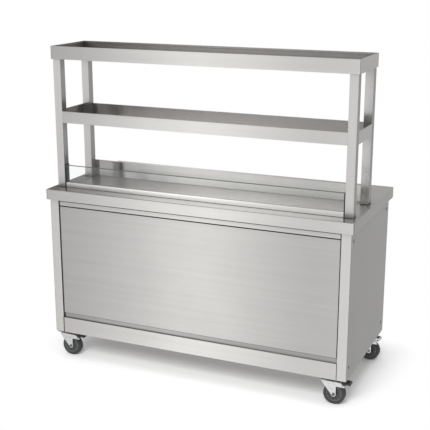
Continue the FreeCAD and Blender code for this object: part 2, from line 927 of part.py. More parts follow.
def make_plate(name, x, y):
    body = new_body("caster_plate_" + name)
    half = size.plate_size / 2
    outline = new_sketch(body, "XY_Plane")
    draw_rectangle(outline, -half, half, -half, half)
    pad(body, outline, size.plate_thickness)
    round_edges(body, upright_edges(body, half, half), size.plate_corner)
    race = new_sketch(body, "XY_Plane")
    draw_circle(race, zero, zero, size.race_radius)
    pad(body, race, size.race_height, reverse=True)
    holes = new_sketch(body, "XY_Plane", size.plate_thickness)
    draw_circle(holes, zero, zero, size.kingpin_radius)
    for a, b in bolt_places():
        draw_circle(holes, a, b, size.bolt_radius + size.bolt_hole_clear)
    pocket(body, holes)
    place(body, x, y, plate_under)
    keep(body)


def make_fork(name, x, y):
    body = new_body("caster_fork_" + name)
    kind = caster_kind(name)
    trail = kind.trail
    top = kind.crown_under + size.crown_thickness
    brim = size.wheel_diameter - size.brim_drop
    legs = new_sketch(body, "XZ_Plane")
    draw_polygon(legs, [
        (-kind.back, top), (-kind.back, top - kind.side),
        (trail - size.leg_round, axle_level), (trail + size.leg_round, axle_level),
        (trail + size.leg_round, brim), (kind.reach, brim),
        (kind.reach, brim + size.brim_tip), (kind.half, top),
    ])
    pad(body, legs, leg_outer * 2, both=True)
    ends = new_sketch(body, "XZ_Plane")
    draw_circle(ends, trail, axle_level, size.leg_round)
    pad(body, ends, leg_outer * 2, both=True)
    slot = new_sketch(body, "XZ_Plane")
    back = kind.back + size.leg_round
    reach = kind.reach + size.leg_round
    draw_rectangle(slot, -back, reach, axle_level - size.leg_round * 2, kind.crown_under)
    pocket(body, slot, leg_inner * 2, both=True)
    boss = new_sketch(body, "XY_Plane", top)
    draw_circle(boss, zero, zero, size.boss_radius)
    pad(body, boss, race_under - size.bearing_gap - top)
    bore = new_sketch(body, "XY_Plane")
    draw_circle(bore, zero, zero, size.kingpin_radius + size.run_fit)
    pocket(body, bore, upward=True)
    pins = new_sketch(body, "XZ_Plane")
    draw_circle(pins, trail, axle_level, size.axle_radius + size.run_fit)
    draw_circle(pins, kind.pedal_x, kind.pedal_z, size.pedal_pin + size.run_fit)
    pocket(body, pins, both=True)
    place(body, x, y, zero)
    keep(body)


def make_axle(name, x, y):
    body = new_body("caster_axle_" + name)
    shaft = new_sketch(body, "XZ_Plane")
    draw_circle(shaft, zero, zero, size.axle_radius)
    pad(body, shaft, leg_outer * 2, both=True)
    for sign in (-1, 1):
        head = new_sketch(body, "XZ_Plane", sign * leg_outer)
        draw_circle(head, zero, zero, size.axle_head_radius)
        pad(body, head, size.axle_head, reverse=sign < 0)
    place(body, x + caster_kind(name).trail, y, axle_level)
    keep(body)


def make_wheel(name, x, y):
    body = new_body("caster_wheel_" + name)
    rim_radius = axle_level - size.tyre_depth
    web = new_sketch(body, "XZ_Plane")
    draw_circle(web, zero, zero, rim_radius)
    pad(body, web, size.web_thickness, both=True)
    rim = new_sketch(body, "XZ_Plane")
    draw_circle(rim, zero, zero, rim_radius)
    draw_circle(rim, zero, zero, rim_radius - size.rim_wall)
    pad(body, rim, size.rim_width, both=True)
    hub = new_sketch(body, "XZ_Plane")
    draw_circle(hub, zero, zero, size.hub_radius)
    pad(body, hub, (leg_inner - size.hub_clear) * 2, both=True)
    bore = new_sketch(body, "XZ_Plane")
    draw_circle(bore, zero, zero, size.axle_radius + size.run_fit)
    pocket(body, bore, both=True)
    place(body, x + caster_kind(name).trail, y, axle_level)
    keep(body)


def make_tyre(name, x, y):
    body = new_body("caster_tyre_" + name)
    ring = new_sketch(body, "XZ_Plane")
    draw_circle(ring, zero, zero, axle_level)
    draw_circle(ring, zero, zero, axle_level - size.tyre_depth)
    pad(body, ring, size.tyre_width, both=True)
    shoulders = []
    for number, edge in enumerate(body.Tip.Shape.Edges, start=1):
        if edge.Closed and abs(edge.BoundBox.ZMax - axle_level.number) < 1e-4:
            shoulders.append(f"Edge{number}")
    round_edges(body, shoulders, size.tyre_round)
    place(body, x + caster_kind(name).trail, y, axle_level)
    keep(body)


def make_pedal(name, x, y):
    body = new_body("caster_pedal_" + name)
    kind = caster_kind(name)
    width = (leg_inner - size.pedal_side_clear) * 2
    back = -kind.pedal_back
    top = kind.crown_under + size.crown_thickness + size.tread_above - kind.pedal_z
    tip = kind.pedal_reach
    thick = size.tread_thickness
    slope = size.tread_slope
    tread = new_sketch(body, "XZ_Plane")
    draw_polygon(tread, [
        (back, size.pedal_pin), (size.pedal_eye, zero), (tip - slope * 2, top - thick * 2),
        (tip - thick / 2, top - slope - thick), (tip, top - slope), (tip - slope, top),
        (back + thick, top), (back, top - thick),
    ])
    pad(body, tread, width, both=True)
    eye = new_sketch(body, "XZ_Plane")
    draw_circle(eye, zero, zero, size.pedal_eye)
    pad(body, eye, width, both=True)
    shoe = new_sketch(body, "XZ_Plane")
    draw_circle(shoe, -kind.shoe_back, -kind.shoe_drop, kind.shoe_radius)
    pad(body, shoe, size.shoe_width, both=True)
    pin = new_sketch(body, "XZ_Plane")
    draw_circle(pin, zero, zero, size.pedal_pin)
    pad(body, pin, leg_outer * 2, both=True)
    place(body, x + kind.pedal_x, y, kind.pedal_z)
    keep(body)


def make_casters():
    make_caster_pads()
    make_caster_bolts()
    make_kingpins()
    for name, side, end in corners:
        x, y = kingpin_centre(side, end)
        make_plate(name, x, y)
        make_fork(name, x, y)
        make_axle(name, x, y)
        make_wheel(name, x, y)
        make_tyre(name, x, y)
        make_pedal(name, x, y)


def check_document():
    doc.recompute()
    for item in doc.Objects:
        if "Invalid" in item.State or "Error" in item.State:
            raise RuntimeError(f"{item.Label} failed: {item.State}")
    for item in nodes:
        if item.Shape.isNull() or not item.Shape.isValid() or not item.Shape.Solids:
            raise RuntimeError(f"{item.Label} has no valid solid")


def write_parts():
    os.makedirs("parts", exist_ok=True)
    for item in nodes:
        item.Shape.exportStep(os.path.join("parts", item.Label + ".step"))


def main():
    make_counter_top()
    make_back_guard()
    make_posts()
    make_rails()
    make_front_panel()
    make_panel_stops()
    make_ledge()
    make_side_panels()
    make_side_screws()
    make_cabinet_floor()
    make_inner_shelf()
    make_tracks()
    make_doors()
    make_uprights()
    make_trays()
    make_glass()
    make_casters()
    check_document()
    write_parts()
    print(len(nodes), "sub-parts written")


main()
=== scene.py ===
"""Finishes, small pieces and studio for a wheeled juice display counter in stainless steel."""

import math

import bmesh
import bpy
from bpy.props import FloatProperty, FloatVectorProperty, IntProperty, PointerProperty
from mathutils import Matrix, Vector


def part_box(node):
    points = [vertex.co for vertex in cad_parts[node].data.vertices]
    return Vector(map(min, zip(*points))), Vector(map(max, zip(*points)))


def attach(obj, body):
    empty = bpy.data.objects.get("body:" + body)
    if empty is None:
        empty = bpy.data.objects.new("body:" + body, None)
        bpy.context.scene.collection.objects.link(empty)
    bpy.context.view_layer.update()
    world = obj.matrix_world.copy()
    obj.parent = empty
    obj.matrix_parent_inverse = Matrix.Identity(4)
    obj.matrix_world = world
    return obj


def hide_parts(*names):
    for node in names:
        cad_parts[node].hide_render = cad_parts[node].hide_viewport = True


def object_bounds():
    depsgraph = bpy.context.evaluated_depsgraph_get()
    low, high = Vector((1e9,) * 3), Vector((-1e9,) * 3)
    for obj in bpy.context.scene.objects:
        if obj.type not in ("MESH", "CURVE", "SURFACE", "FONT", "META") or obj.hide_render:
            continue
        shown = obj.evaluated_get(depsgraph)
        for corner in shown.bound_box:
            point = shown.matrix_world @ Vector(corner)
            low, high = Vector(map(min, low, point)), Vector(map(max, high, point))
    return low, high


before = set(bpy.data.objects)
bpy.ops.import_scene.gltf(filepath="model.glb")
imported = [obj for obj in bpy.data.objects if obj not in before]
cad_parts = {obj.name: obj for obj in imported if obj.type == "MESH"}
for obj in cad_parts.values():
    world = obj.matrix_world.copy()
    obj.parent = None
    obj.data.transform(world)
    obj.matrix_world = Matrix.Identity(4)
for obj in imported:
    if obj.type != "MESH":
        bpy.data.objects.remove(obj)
cad_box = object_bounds()

bl_info = {
    "name": "Juice display counter",
    "version": (1, 0, 0),
    "blender": (4, 5, 0),
    "location": "3D View > Sidebar > Counter",
    "description": "Dresses the packed counter with its finishes, fasteners, casters and studio",
    "category": "Object",
}

# Light that metal takes from the wall in front, at four heights, and from the wall behind
# Each pair is a turn in degrees towards +X and the level there
LOW_FRONT = (
    (-60.0, 0.66), (-36.0, 0.68), (-31.5, 0.78), (-28.0, 1.16), (-24.6, 1.74), (-21.4, 1.08), (-17.5, 0.69),
    (-15.5, 0.80), (-11.0, 1.45), (2.0, 1.05), (16.0, 0.35), (60.0, 0.60))
SHELF_FRONT = (
    (-60.0, 0.80), (-36.0, 0.95), (-33.2, 1.10), (-30.9, 1.42), (-28.7, 1.70), (-26.4, 1.80), (-24.2, 1.60),
    (-21.9, 0.98), (-19.7, 0.83), (-17.4, 0.72), (-15.2, 0.90), (-11.0, 1.45), (2.0, 1.05), (16.0, 0.35),
    (60.0, 0.60))
MIDDLE_FRONT = (
    (-60.0, 0.30), (-36.0, 0.12), (-31.7, 0.12), (-29.8, 0.20), (-27.0, 0.62), (-24.2, 1.02), (-20.7, 1.00),
    (-17.0, 0.84), (2.0, 0.80), (60.0, 0.40))
HIGH_FRONT = (
    (-60.0, 0.34), (-36.0, 0.36), (-31.7, 0.47), (-29.3, 0.86), (-26.8, 1.30), (-24.4, 1.42), (-21.4, 1.14),
    (-18.3, 0.90), (-16.5, 0.82), (2.0, 0.80), (60.0, 0.40))
BACK_WALL = (
    (-60.0, 0.55), (-40.0, 0.24), (-33.0, 0.19), (-31.7, 0.29), (-29.3, 0.76), (-26.8, 1.02), (-24.4, 1.00),
    (-21.4, 0.76), (-18.3, 0.54), (-16.5, 0.49), (-12.0, 0.53), (20.0, 0.60), (60.0, 0.70))

# Each wall takes over from the one below it between these two upward slopes
FRONT_STEPS = ((-0.21, -0.11, SHELF_FRONT), (-0.08, -0.03, MIDDLE_FRONT), (0.10, 0.18, HIGH_FRONT))
# The wall behind takes over from the walls in front between these two slopes towards +Y
BACK_STEP = (-0.15, 0.15)

# Walls may be up to twice as light as white, so a ramp holds their levels halved
WALL_SCALE = 2.0

MM = 0.001
# Points closer than this are one
MERGE = 0.001 * MM
# A face is an end, or level, when its normal has more than this share along X, or Z
FACE_SHARE = 0.7
SIDES = (-1.0, 1.0)
# Sides of a round head or washer
ROUND_SIDES = 28
CORNERS = ("front_left", "front_right", "rear_left", "rear_right")


def colour_property(name, description, default):
    """A linear colour that a user may change."""
    return FloatVectorProperty(
        name=name, description=description, subtype="COLOR", size=3, min=0.0, max=1.0, default=default)


def length_property(name, description, millimetres):
    """A length in metres that a user may change, given in millimetres."""
    return FloatProperty(
        name=name, description=description, default=millimetres * MM, min=0.0, unit="LENGTH", precision=5)


def share_property(name, description, default):
    """A number from nought to one that a user may change."""
    return FloatProperty(
        name=name, description=description, default=default, min=0.0, max=1.0, subtype="FACTOR")


class SteelFinish(bpy.types.PropertyGroup):
    """Brushed stainless sheet and tube. Its colours differ from piece to piece as lighter and darker copies
    of one steel: painted light and shade.
    """

    sheet_colour: colour_property("Sheet colour", "Deck, shelves and rails", (0.65, 0.635, 0.621))
    guard_colour: colour_property("Guard colour", "Back guard", (0.66, 0.645, 0.632))
    channel_colour: colour_property("Channel colour", "Channel that holds the glass", (0.97, 0.955, 0.940))
    guard_lean: share_property("Guard lean", "Slope by which the guard and ledge seem to lean", 0.14)
    panel_colour: colour_property("Panel colour", "Front panel and doors", (0.55, 0.536, 0.524))
    # Painted shade: the end panels get a darker copy of the steel's colour, for how light falls on them.
    side_shade_colour: colour_property("Side colour", "Duller end panels", (0.395, 0.386, 0.379))
    # Painted shade: the strip below the front panel gets a darker copy of the steel's colour, for the shade
    # in its recess.
    ledge_shade_colour: colour_property("Ledge colour", "Strip below the front panel", (0.41, 0.401, 0.392))
    tube_colour: colour_property("Tube colour", "Cabinet posts", (0.66, 0.645, 0.632))
    upright_colour: colour_property("Upright colour", "Shelf uprights", (0.605, 0.591, 0.579))
    sheet_roughness: share_property("Sheet roughness", "Shelves, rails, ends and ledge", 0.25)
    deck_roughness: share_property("Deck roughness", "Level faces of the deck and shelves", 0.20)
    guard_roughness: share_property("Guard roughness", "Roughness of the back guard and channel", 0.17)
    panel_roughness: share_property("Panel roughness", "Roughness of the front panel and doors", 0.24)
    tube_roughness: share_property("Tube roughness", "Roughness of the posts and uprights", 0.28)
    brushing: share_property("Brushing", "How far the brushing draws a reflection out", 0.9)
    edge_round: length_property("Edge round", "Radius of the folds and cut edges", 1.2)
    # Painted shade: these darken the steel's colour in corners, under overhangs and inside the shelves, by
    # how shut in each spot is.
    crease_reach: length_property("Crease reach", "How far a corner or overhang dims the sheet", 70.0)
    crease_shade_depth: share_property("Crease depth", "How much a corner or overhang dims the sheet", 0.62)
    deck_reach: length_property("Deck reach", "How far the back guard dims the deck", 150.0)
    deck_crease_shade: share_property("Deck crease", "How much a corner or overhang dims the deck", 0.80)
    tray_shade: share_property("Tray depth", "How much the inside of the middle shelf is dimmed", 0.10)
    top_shade: share_property("Top depth", "How much the inside of the top shelf is dimmed", 0.90)
    # Painted shade: these darken the ends of the deck and shelves and the sides of the uprights, for how
    # light falls on them.
    rim_end_shade: share_property("Rim end", "Tone of the deck's ends beside its front", 0.64)
    shelf_end_shade: share_property("Shelf end", "Tone of a shelf's ends beside its front", 0.86)
    tube_side_shade: share_property("Tube side", "Tone of an upright's sides beside its front", 0.72)


class TrimFinish(bpy.types.PropertyGroup):
    """Rubber, plastic, zinc, aluminium and glass."""

    # This colour also goes on the painted shadow lines in the joints and on the dark rings of painted shade
    # under the end-panel screws.
    rubber_colour: colour_property("Rubber colour", "Seals, washers and pads", (0.018, 0.018, 0.019))
    tyre_colour: colour_property("Tyre colour", "Caster tyres", (0.016, 0.0165, 0.018))
    hub_colour: colour_property("Hub colour", "Caster wheel centres", (0.075, 0.077, 0.080))
    pedal_colour: colour_property("Pedal colour", "Front brake pedals", (0.016, 0.016, 0.018))
    zinc_colour: colour_property("Zinc colour", "Plated caster pressings", (0.70, 0.705, 0.71))
    screw_colour: colour_property("Screw colour", "Screws and bolts", (0.55, 0.55, 0.55))
    # The axles are dark steel; on the caster plates and the front forks' collars the same dark colour is
    # painted shade, for the shaded band under the cabinet.
    axle_and_shade_colour: colour_property("Axle colour", "Axles, plates and front collars", (0.20, 0.20, 0.205))
    track_colour: colour_property("Track colour", "Door tracks", (0.62, 0.62, 0.625))
    seal_reach: length_property("Seal reach", "Depth of the seal at each end of the front guard", 35.0)
    glass_colour: colour_property("Glass colour", "Front guard", (0.965, 0.985, 0.978))
    # Painted shade: the glass's top edge is drawn as a near-black opaque band, for the dark line that the
    # edge shows.
    edge_depth: length_property("Edge depth", "Height of the ground edge along the glass's top", 3.0)
    edge_colour: colour_property("Edge colour", "Ground top edge of the front guard", (0.05, 0.062, 0.058))


class FastenerSizes(bpy.types.PropertyGroup):
    """Screws of the end panels and bolts of the casters."""

    screw_radius: length_property("Screw radius", "Head radius of an end-panel screw", 4.4)
    screw_height: length_property("Screw height", "Head height of an end-panel screw", 2.4)
    cross_width: length_property("Cross width", "Width of the cross recess", 1.5)
    cross_depth: length_property("Cross depth", "Depth of the cross recess", 1.4)
    bolt_radius: length_property("Bolt radius", "Radius of a caster bolt's six-sided head", 6.4)
    bolt_height: length_property("Bolt height", "Height of a caster bolt's head", 4.0)
    washer_radius: length_property("Washer radius", "Radius of the washer under a caster bolt", 7.0)
    # Painted shade: a dark ring under each end-panel screw stands in for the shade round its head.
    shadow_ring_radius: length_property("Gasket radius", "Radius of the dark washer under a screw", 8.0)
    shadow_ring_height: length_property("Gasket height", "Thickness of the dark washer under a screw", 0.8)


class JointSizes(bpy.types.PropertyGroup):
    """Thin dark lines in the joints between sheets, painted shade for the gaps there, as the radius of each
    line.
    """

    rim_line: length_property("Rim line", "Joint between the rim and the rail below it", 1.3)
    panel_line: length_property("Panel line", "Joint round the front panel", 2.0)
    ledge_line: length_property("Ledge line", "Joint above the ledge strip and at its ends", 0.9)
    channel_line: length_property("Channel line", "Joint between the glass channel and the deck", 0.8)
    rail_line: length_property("Rail line", "Joint between the bottom rail and the right post", 1.7)
    shaded_line: length_property("Shaded line", "Joint between the bottom rail and the left post", 2.5)
    corner_line: length_property("Corner line", "Closed corner of a rim", 0.7)
    line_sides: IntProperty(name="Line sides", description="Sides of a sealant line", default=8, min=3)


class CasterSizes(bpy.types.PropertyGroup):
    """Wheels, tyres and forks of the four casters."""

    wheel_radius: length_property("Wheel radius", "Radius over the tyre", 50.0)
    rim_radius: length_property("Rim radius", "Radius where the tyre meets the wheel centre", 36.0)
    hub_radius: length_property("Hub radius", "Radius of the bearing hub", 12.0)
    groove_depth: length_property("Groove depth", "Depth of the tyre's two grooves", 1.6)
    rib_count: IntProperty(
        name="Ribs", description="Ribs round a wheel centre", default=10, min=3)
    rib_thickness: length_property("Rib thickness", "Thickness of a wheel rib", 2.0)
    # Painted shade: above this height a front fork is coloured dark, for the shade under the cabinet.
    collar_shade_level: length_property("Collar level", "Height above which a front fork is dark", 113.0)
    fork_edge: length_property("Fork edge", "Edge radius of the fork pressings", 0.8)


class StudioSetup(bpy.types.PropertyGroup):
    """Camera, lamps, floor and background."""

    camera_place: FloatVectorProperty(
        name="Camera place", description="Where the camera stands", subtype="TRANSLATION", unit="LENGTH",
        default=(1.7140, -4.0046, 1.9318))
    camera_target: FloatVectorProperty(
        name="Camera target", description="The point in the middle of the picture", subtype="TRANSLATION",
        unit="LENGTH", default=(-0.02962, 0.0, 0.72301))
    focal_length: FloatProperty(
        name="Focal length", description="Lens on a 36 mm sensor", default=78.84, unit="CAMERA")
    top_lamp: FloatProperty(
        name="Top lamp", description="Power of the wide lamp overhead", default=60.0, unit="POWER")
    front_lamp: FloatProperty(
        name="Front lamp", description="Power of the soft lamp in front", default=150.0, unit="POWER")
    sky_level: share_property("Sky level", "Light from the room on plain surfaces", 0.55)
    room_level: FloatProperty(
        name="Room level", description="Light from the room's walls on metal", default=1.0, min=0.0)
    floor_colour: colour_property("Floor colour", "Pale studio floor", (0.93, 0.93, 0.93))
    floor_fade: length_property("Floor fade", "How far the floor takes to fade to white", 170.0)
    floor_glow: share_property("Floor glow", "Light that lifts the shadow under the counter", 0.06)


def settings(name):
    """The scene's settings of that name."""
    return getattr(bpy.context.scene, "counter_" + name)


# Node helpers

def add_node(tree, kind, **values):
    """A new node with its plain settings."""
    node = tree.nodes.new(kind)
    for name, value in values.items():
        setattr(node, name, value)
    return node


def feed(tree, socket, source):
    """Links a socket to an output, or sets its plain value."""
    if isinstance(source, bpy.types.NodeSocket):
        tree.links.new(source, socket)
    else:
        socket.default_value = source


def maths(tree, operation, *terms):
    """The result of a Math node."""
    node = add_node(tree, "ShaderNodeMath", operation=operation)
    for socket, term in zip(node.inputs, terms):
        feed(tree, socket, term)
    return node.outputs[0]


def blend_values(tree, share, first, second):
    """A number between two others."""
    node = add_node(tree, "ShaderNodeMix", data_type="FLOAT")
    feed(tree, node.inputs[0], share)
    feed(tree, node.inputs[2], first)
    feed(tree, node.inputs[3], second)
    return node.outputs[0]


def blend_colours(tree, share, first, second, mode="MIX"):
    """A colour between two others."""
    node = add_node(tree, "ShaderNodeMix", data_type="RGBA", blend_type=mode)
    feed(tree, node.inputs[0], share)
    feed(tree, node.inputs[6], first)
    feed(tree, node.inputs[7], second)
    return node.outputs[2]


def spread(tree, value, low, high, to_low=0.0, to_high=1.0):
    """A number moved from one range to another, or to a share."""
    node = add_node(tree, "ShaderNodeMapRange")
    for socket, term in zip(node.inputs, (value, low, high, to_low, to_high)):
        feed(tree, socket, term)
    return node.outputs[0]


def noise(tree, place, scale, detail, roughness):
    """The value of a noise pattern."""
    node = add_node(tree, "ShaderNodeTexNoise")
    feed(tree, node.inputs["Vector"], place)
    node.inputs["Scale"].default_value = scale
    node.inputs["Detail"].default_value = detail
    node.inputs["Roughness"].default_value = roughness
    return node.outputs["Fac"]


def separate(tree, vector):
    """The three parts of a vector."""
    node = add_node(tree, "ShaderNodeSeparateXYZ")
    feed(tree, node.inputs[0], vector)
    return node.outputs


def combine(tree, x=0.0, y=0.0, z=0.0):
    """A vector from its three parts."""
    node = add_node(tree, "ShaderNodeCombineXYZ")
    for socket, part in zip(node.inputs, (x, y, z)):
        feed(tree, socket, part)
    return node.outputs[0]


def vector_maths(tree, operation, *terms):
    """The vector that a Vector Math node gives."""
    node = add_node(tree, "ShaderNodeVectorMath", operation=operation)
    for socket, term in zip(node.inputs, terms):
        feed(tree, socket, term)
    return node.outputs[0]


def stretched(tree, along, across, along_scale, across_scale):
    """A place drawn out along the brushing."""
    return combine(
        tree, maths(tree, "MULTIPLY", along, along_scale), maths(tree, "MULTIPLY", across, across_scale))


def four(colour, share=1.0, lift=0.0):
    """A colour with full alpha, made lighter or darker by a share and a lift."""
    return tuple(min(1.0, part * share + lift) for part in colour) + (1.0,)


def face_masks(tree, normal):
    """Masks of the end faces and of the level faces."""
    parts = separate(tree, normal)
    return [maths(tree, "GREATER_THAN", maths(tree, "ABSOLUTE", parts[axis]), FACE_SHARE) for axis in "XZ"]


def new_group(name, inputs, outputs, kind="ShaderNodeTree"):
    """An empty node group with named sockets, and its two ends."""
    tree = bpy.data.node_groups.new(name, kind)
    for way, sockets in (("INPUT", inputs), ("OUTPUT", outputs)):
        for label, value in sockets:
            tree.interface.new_socket(label, in_out=way, socket_type="NodeSocket" + value)
    return tree, add_node(tree, "NodeGroupInput"), add_node(tree, "NodeGroupOutput")


def place_group(tree, group, **values):
    """A group in a material, with its own values."""
    node = add_node(tree, "ShaderNodeGroup", node_tree=group)
    for label, value in values.items():
        feed(tree, node.inputs[label], value)
    return node


# Shared surface effects

def brushing_group():
    """Fine lines and wide bands that run along the brushing of sheet or tube."""
    tree, start, end = new_group(
        "Brushing",
        [("Place", "Vector"), ("Facing", "Vector"), ("Upright", "Float")],
        [("Lines", "Float"), ("Bands", "Float")])
    x, y, z = separate(tree, start.outputs["Place"])
    end_face, level_face = face_masks(tree, start.outputs["Facing"])
    upright = start.outputs["Upright"]
    level_along = blend_values(tree, end_face, x, y)
    level_across = blend_values(tree, level_face, z, y)
    along = blend_values(tree, upright, level_along, z)
    across = blend_values(tree, upright, level_across, level_along)
    fine = stretched(tree, along, across, along_scale=5.0, across_scale=1800.0)
    wide = stretched(tree, along, across, along_scale=0.9, across_scale=46.0)
    feed(tree, end.inputs["Lines"], noise(tree, fine, scale=1.0, detail=3.0, roughness=0.6))
    feed(tree, end.inputs["Bands"], noise(tree, wide, scale=1.0, detail=2.0, roughness=0.5))
    return tree


def handling_group():
    """Soft clouds where a cloth has wiped, and small specks."""
    tree, start, end = new_group(
        "Handling", [("Place", "Vector")], [("Clouds", "Float"), ("Specks", "Float")])
    clouds = noise(tree, start.outputs["Place"], scale=5.0, detail=4.0, roughness=0.55)
    specks = noise(tree, start.outputs["Place"], scale=260.0, detail=2.0, roughness=0.5)
    feed(tree, end.inputs["Clouds"], spread(tree, clouds, 0.3, 0.7))
    feed(tree, end.inputs["Specks"], spread(tree, specks, 0.62, 0.78))
    return tree


def edge_group():
    """A mask along folds and cut edges, and the rounded normal there."""
    tree, start, end = new_group(
        "Edges", [("Radius", "Float")], [("Edge", "Float"), ("Normal", "Vector")])
    rounded = add_node(tree, "ShaderNodeBevel", samples=4)
    feed(tree, rounded.inputs["Radius"], start.outputs["Radius"])
    flat = add_node(tree, "ShaderNodeNewGeometry")
    alike = add_node(tree, "ShaderNodeVectorMath", operation="DOT_PRODUCT")
    feed(tree, alike.inputs[0], rounded.outputs[0])
    feed(tree, alike.inputs[1], flat.outputs["Normal"])
    feed(tree, end.inputs["Edge"], spread(tree, alike.outputs["Value"], 0.98, 0.8))
    feed(tree, end.inputs["Normal"], rounded.outputs[0])
    return tree


def crease_shade_group():
    """A mask in corners and under overhangs, where less light comes in, for painted shade."""
    tree, start, end = new_group("Crease shade", [("Reach", "Float")], [("Crease", "Float")])
    open_sky = add_node(tree, "ShaderNodeAmbientOcclusion", samples=8)
    feed(tree, open_sky.inputs["Distance"], start.outputs["Reach"])
    feed(tree, end.inputs["Crease"], maths(tree, "SUBTRACT", 1.0, open_sky.outputs["AO"]))
    return tree


GROUPS = {
    "Brushing": brushing_group, "Handling": handling_group, "Edges": edge_group, "Crease shade": crease_shade_group}


def shared_groups():
    """The surface effects, built once."""
    return {name: bpy.data.node_groups.get(name) or build() for name, build in GROUPS.items()}


# Materials

def new_material(name):
    """A node material with its shader, and the coordinates that it reads."""
    material = bpy.data.materials.new(name)
    material.use_nodes = True
    tree = material.node_tree
    tree.nodes.clear()
    output = add_node(tree, "ShaderNodeOutputMaterial")
    shader = add_node(tree, "ShaderNodeBsdfPrincipled")
    coordinates = add_node(tree, "ShaderNodeTexCoord")
    tree.links.new(shader.outputs[0], output.inputs["Surface"])
    return material, tree, shader, coordinates


def raise_bump(tree, shader, height, strength, distance, normal):
    """Adds relief to a shader."""
    bump = add_node(tree, "ShaderNodeBump")
    bump.inputs["Strength"].default_value = strength
    bump.inputs["Distance"].default_value = distance
    feed(tree, bump.inputs["Height"], height)
    feed(tree, bump.inputs["Normal"], normal)
    feed(tree, shader.inputs["Normal"], bump.outputs[0])


def across_brushing(tree, coordinates, upright):
    """The direction across the brushing, in which a reflection is drawn out."""
    turn = add_node(tree, "ShaderNodeVectorTransform", vector_type="VECTOR",
                    convert_from="OBJECT", convert_to="WORLD")
    facing = coordinates.outputs["Normal"]
    if upright:
        way = vector_maths(tree, "CROSS_PRODUCT", facing, (0.0, 0.0, 1.0))
    else:
        level = face_masks(tree, facing)[1]
        way = combine(tree, 0.0, level, maths(tree, "SUBTRACT", 1.0, level))
    feed(tree, turn.inputs[0], way)
    return turn.outputs[0]


def brushed_steel(
        name, colour, roughness, upright=False, ends=1.0, level=None, crease=None, reach=None, lean=0.0):
    """Stainless steel with brushing, wiped clouds and a painted highlight along its edges.

    Its end faces and its corners and overhangs may be darkened as painted shade, its level faces smoother,
    and it may be shaded as if it leans back.
    """
    finish = settings("steel")
    groups = shared_groups()
    crease = finish.crease_shade_depth if crease is None else crease
    reach = finish.crease_reach if reach is None else reach
    level = roughness if level is None else level
    material, tree, shader, coordinates = new_material(name)
    place = coordinates.outputs["Object"]
    facing = coordinates.outputs["Normal"]
    end_face, level_face = face_masks(tree, facing)
    grain = place_group(tree, groups["Brushing"], Place=place, Facing=facing, Upright=float(upright))
    wiped = place_group(tree, groups["Handling"], Place=place)
    edges = place_group(tree, groups["Edges"], Radius=finish.edge_round)
    creases = place_group(tree, groups["Crease shade"], Reach=reach)
    lines, bands = grain.outputs["Lines"], grain.outputs["Bands"]
    tone = maths(tree, "ADD", maths(tree, "MULTIPLY", lines, 0.55), maths(tree, "MULTIPLY", bands, 0.45))
    tone = spread(tree, tone, 0.3, 0.7)
    brushed = blend_colours(tree, tone, four(colour, 0.955), four(colour, 1.045))
    # Painted highlight: folds and cut edges are made lighter.
    edge = maths(tree, "MULTIPLY", edges.outputs["Edge"], 0.5)
    lightened_edges = blend_colours(tree, edge, brushed, four(colour, 1.25))
    # Painted shade: end faces are darkened by a share.
    shade = maths(tree, "SUBTRACT", 1.0, maths(tree, "MULTIPLY", end_face, 1.0 - ends))
    # Painted shade: corners and overhangs are darkened by how shut in they are.
    dim = maths(tree, "SUBTRACT", 1.0, maths(tree, "MULTIPLY", creases.outputs["Crease"], crease))
    toned = blend_colours(tree, 1.0, lightened_edges, maths(tree, "MULTIPLY", shade, dim), "MULTIPLY")
    feed(tree, shader.inputs["Base Color"], toned)
    shader.inputs["Metallic"].default_value = 1.0
    shader.inputs["Anisotropic"].default_value = finish.brushing
    # The lines and clouds swing the roughness about the value asked for
    line_swing, cloud_swing = 0.05, 0.03
    half_swing = (line_swing + cloud_swing) / 2.0
    clouds = maths(tree, "MULTIPLY", wiped.outputs["Clouds"], cloud_swing)
    rough = maths(tree, "ADD", maths(tree, "MULTIPLY", lines, line_swing), clouds)
    base = blend_values(tree, level_face, roughness - half_swing, level - half_swing)
    feed(tree, shader.inputs["Roughness"], maths(tree, "ADD", rough, base))
    feed(tree, shader.inputs["Tangent"], across_brushing(tree, coordinates, upright))
    normal = edges.outputs["Normal"]
    if lean:
        normal = vector_maths(tree, "NORMALIZE", vector_maths(tree, "ADD", normal, (0.0, 0.0, lean)))
    raise_bump(tree, shader, lines, strength=0.012, distance=0.1 * MM, normal=normal)
    return material


def plated_metal(name, colour, roughness):
    """Plated or cast metal with a faint mottled bloom."""
    groups = shared_groups()
    material, tree, shader, coordinates = new_material(name)
    place = coordinates.outputs["Object"]
    wiped = place_group(tree, groups["Handling"], Place=place)
    edges = place_group(tree, groups["Edges"], Radius=0.6 * MM)
    bloom = noise(tree, place, scale=70.0, detail=4.0, roughness=0.6)
    darker, lighter = four(colour, 0.78), four(colour, 1.15)
    mottled = blend_colours(tree, spread(tree, bloom, 0.3, 0.7), darker, lighter)
    marked = blend_colours(tree, maths(tree, "MULTIPLY", wiped.outputs["Specks"], 0.5), mottled, darker)
    lightened_edges = blend_colours(tree, maths(tree, "MULTIPLY", edges.outputs["Edge"], 0.6), marked, lighter)
    feed(tree, shader.inputs["Base Color"], lightened_edges)
    shader.inputs["Metallic"].default_value = 1.0
    rough = spread(tree, bloom, 0.3, 0.7, roughness - 0.06, roughness + 0.08)
    feed(tree, shader.inputs["Roughness"], rough)
    raise_bump(tree, shader, bloom, strength=0.06, distance=0.4 * MM, normal=edges.outputs["Normal"])
    return material


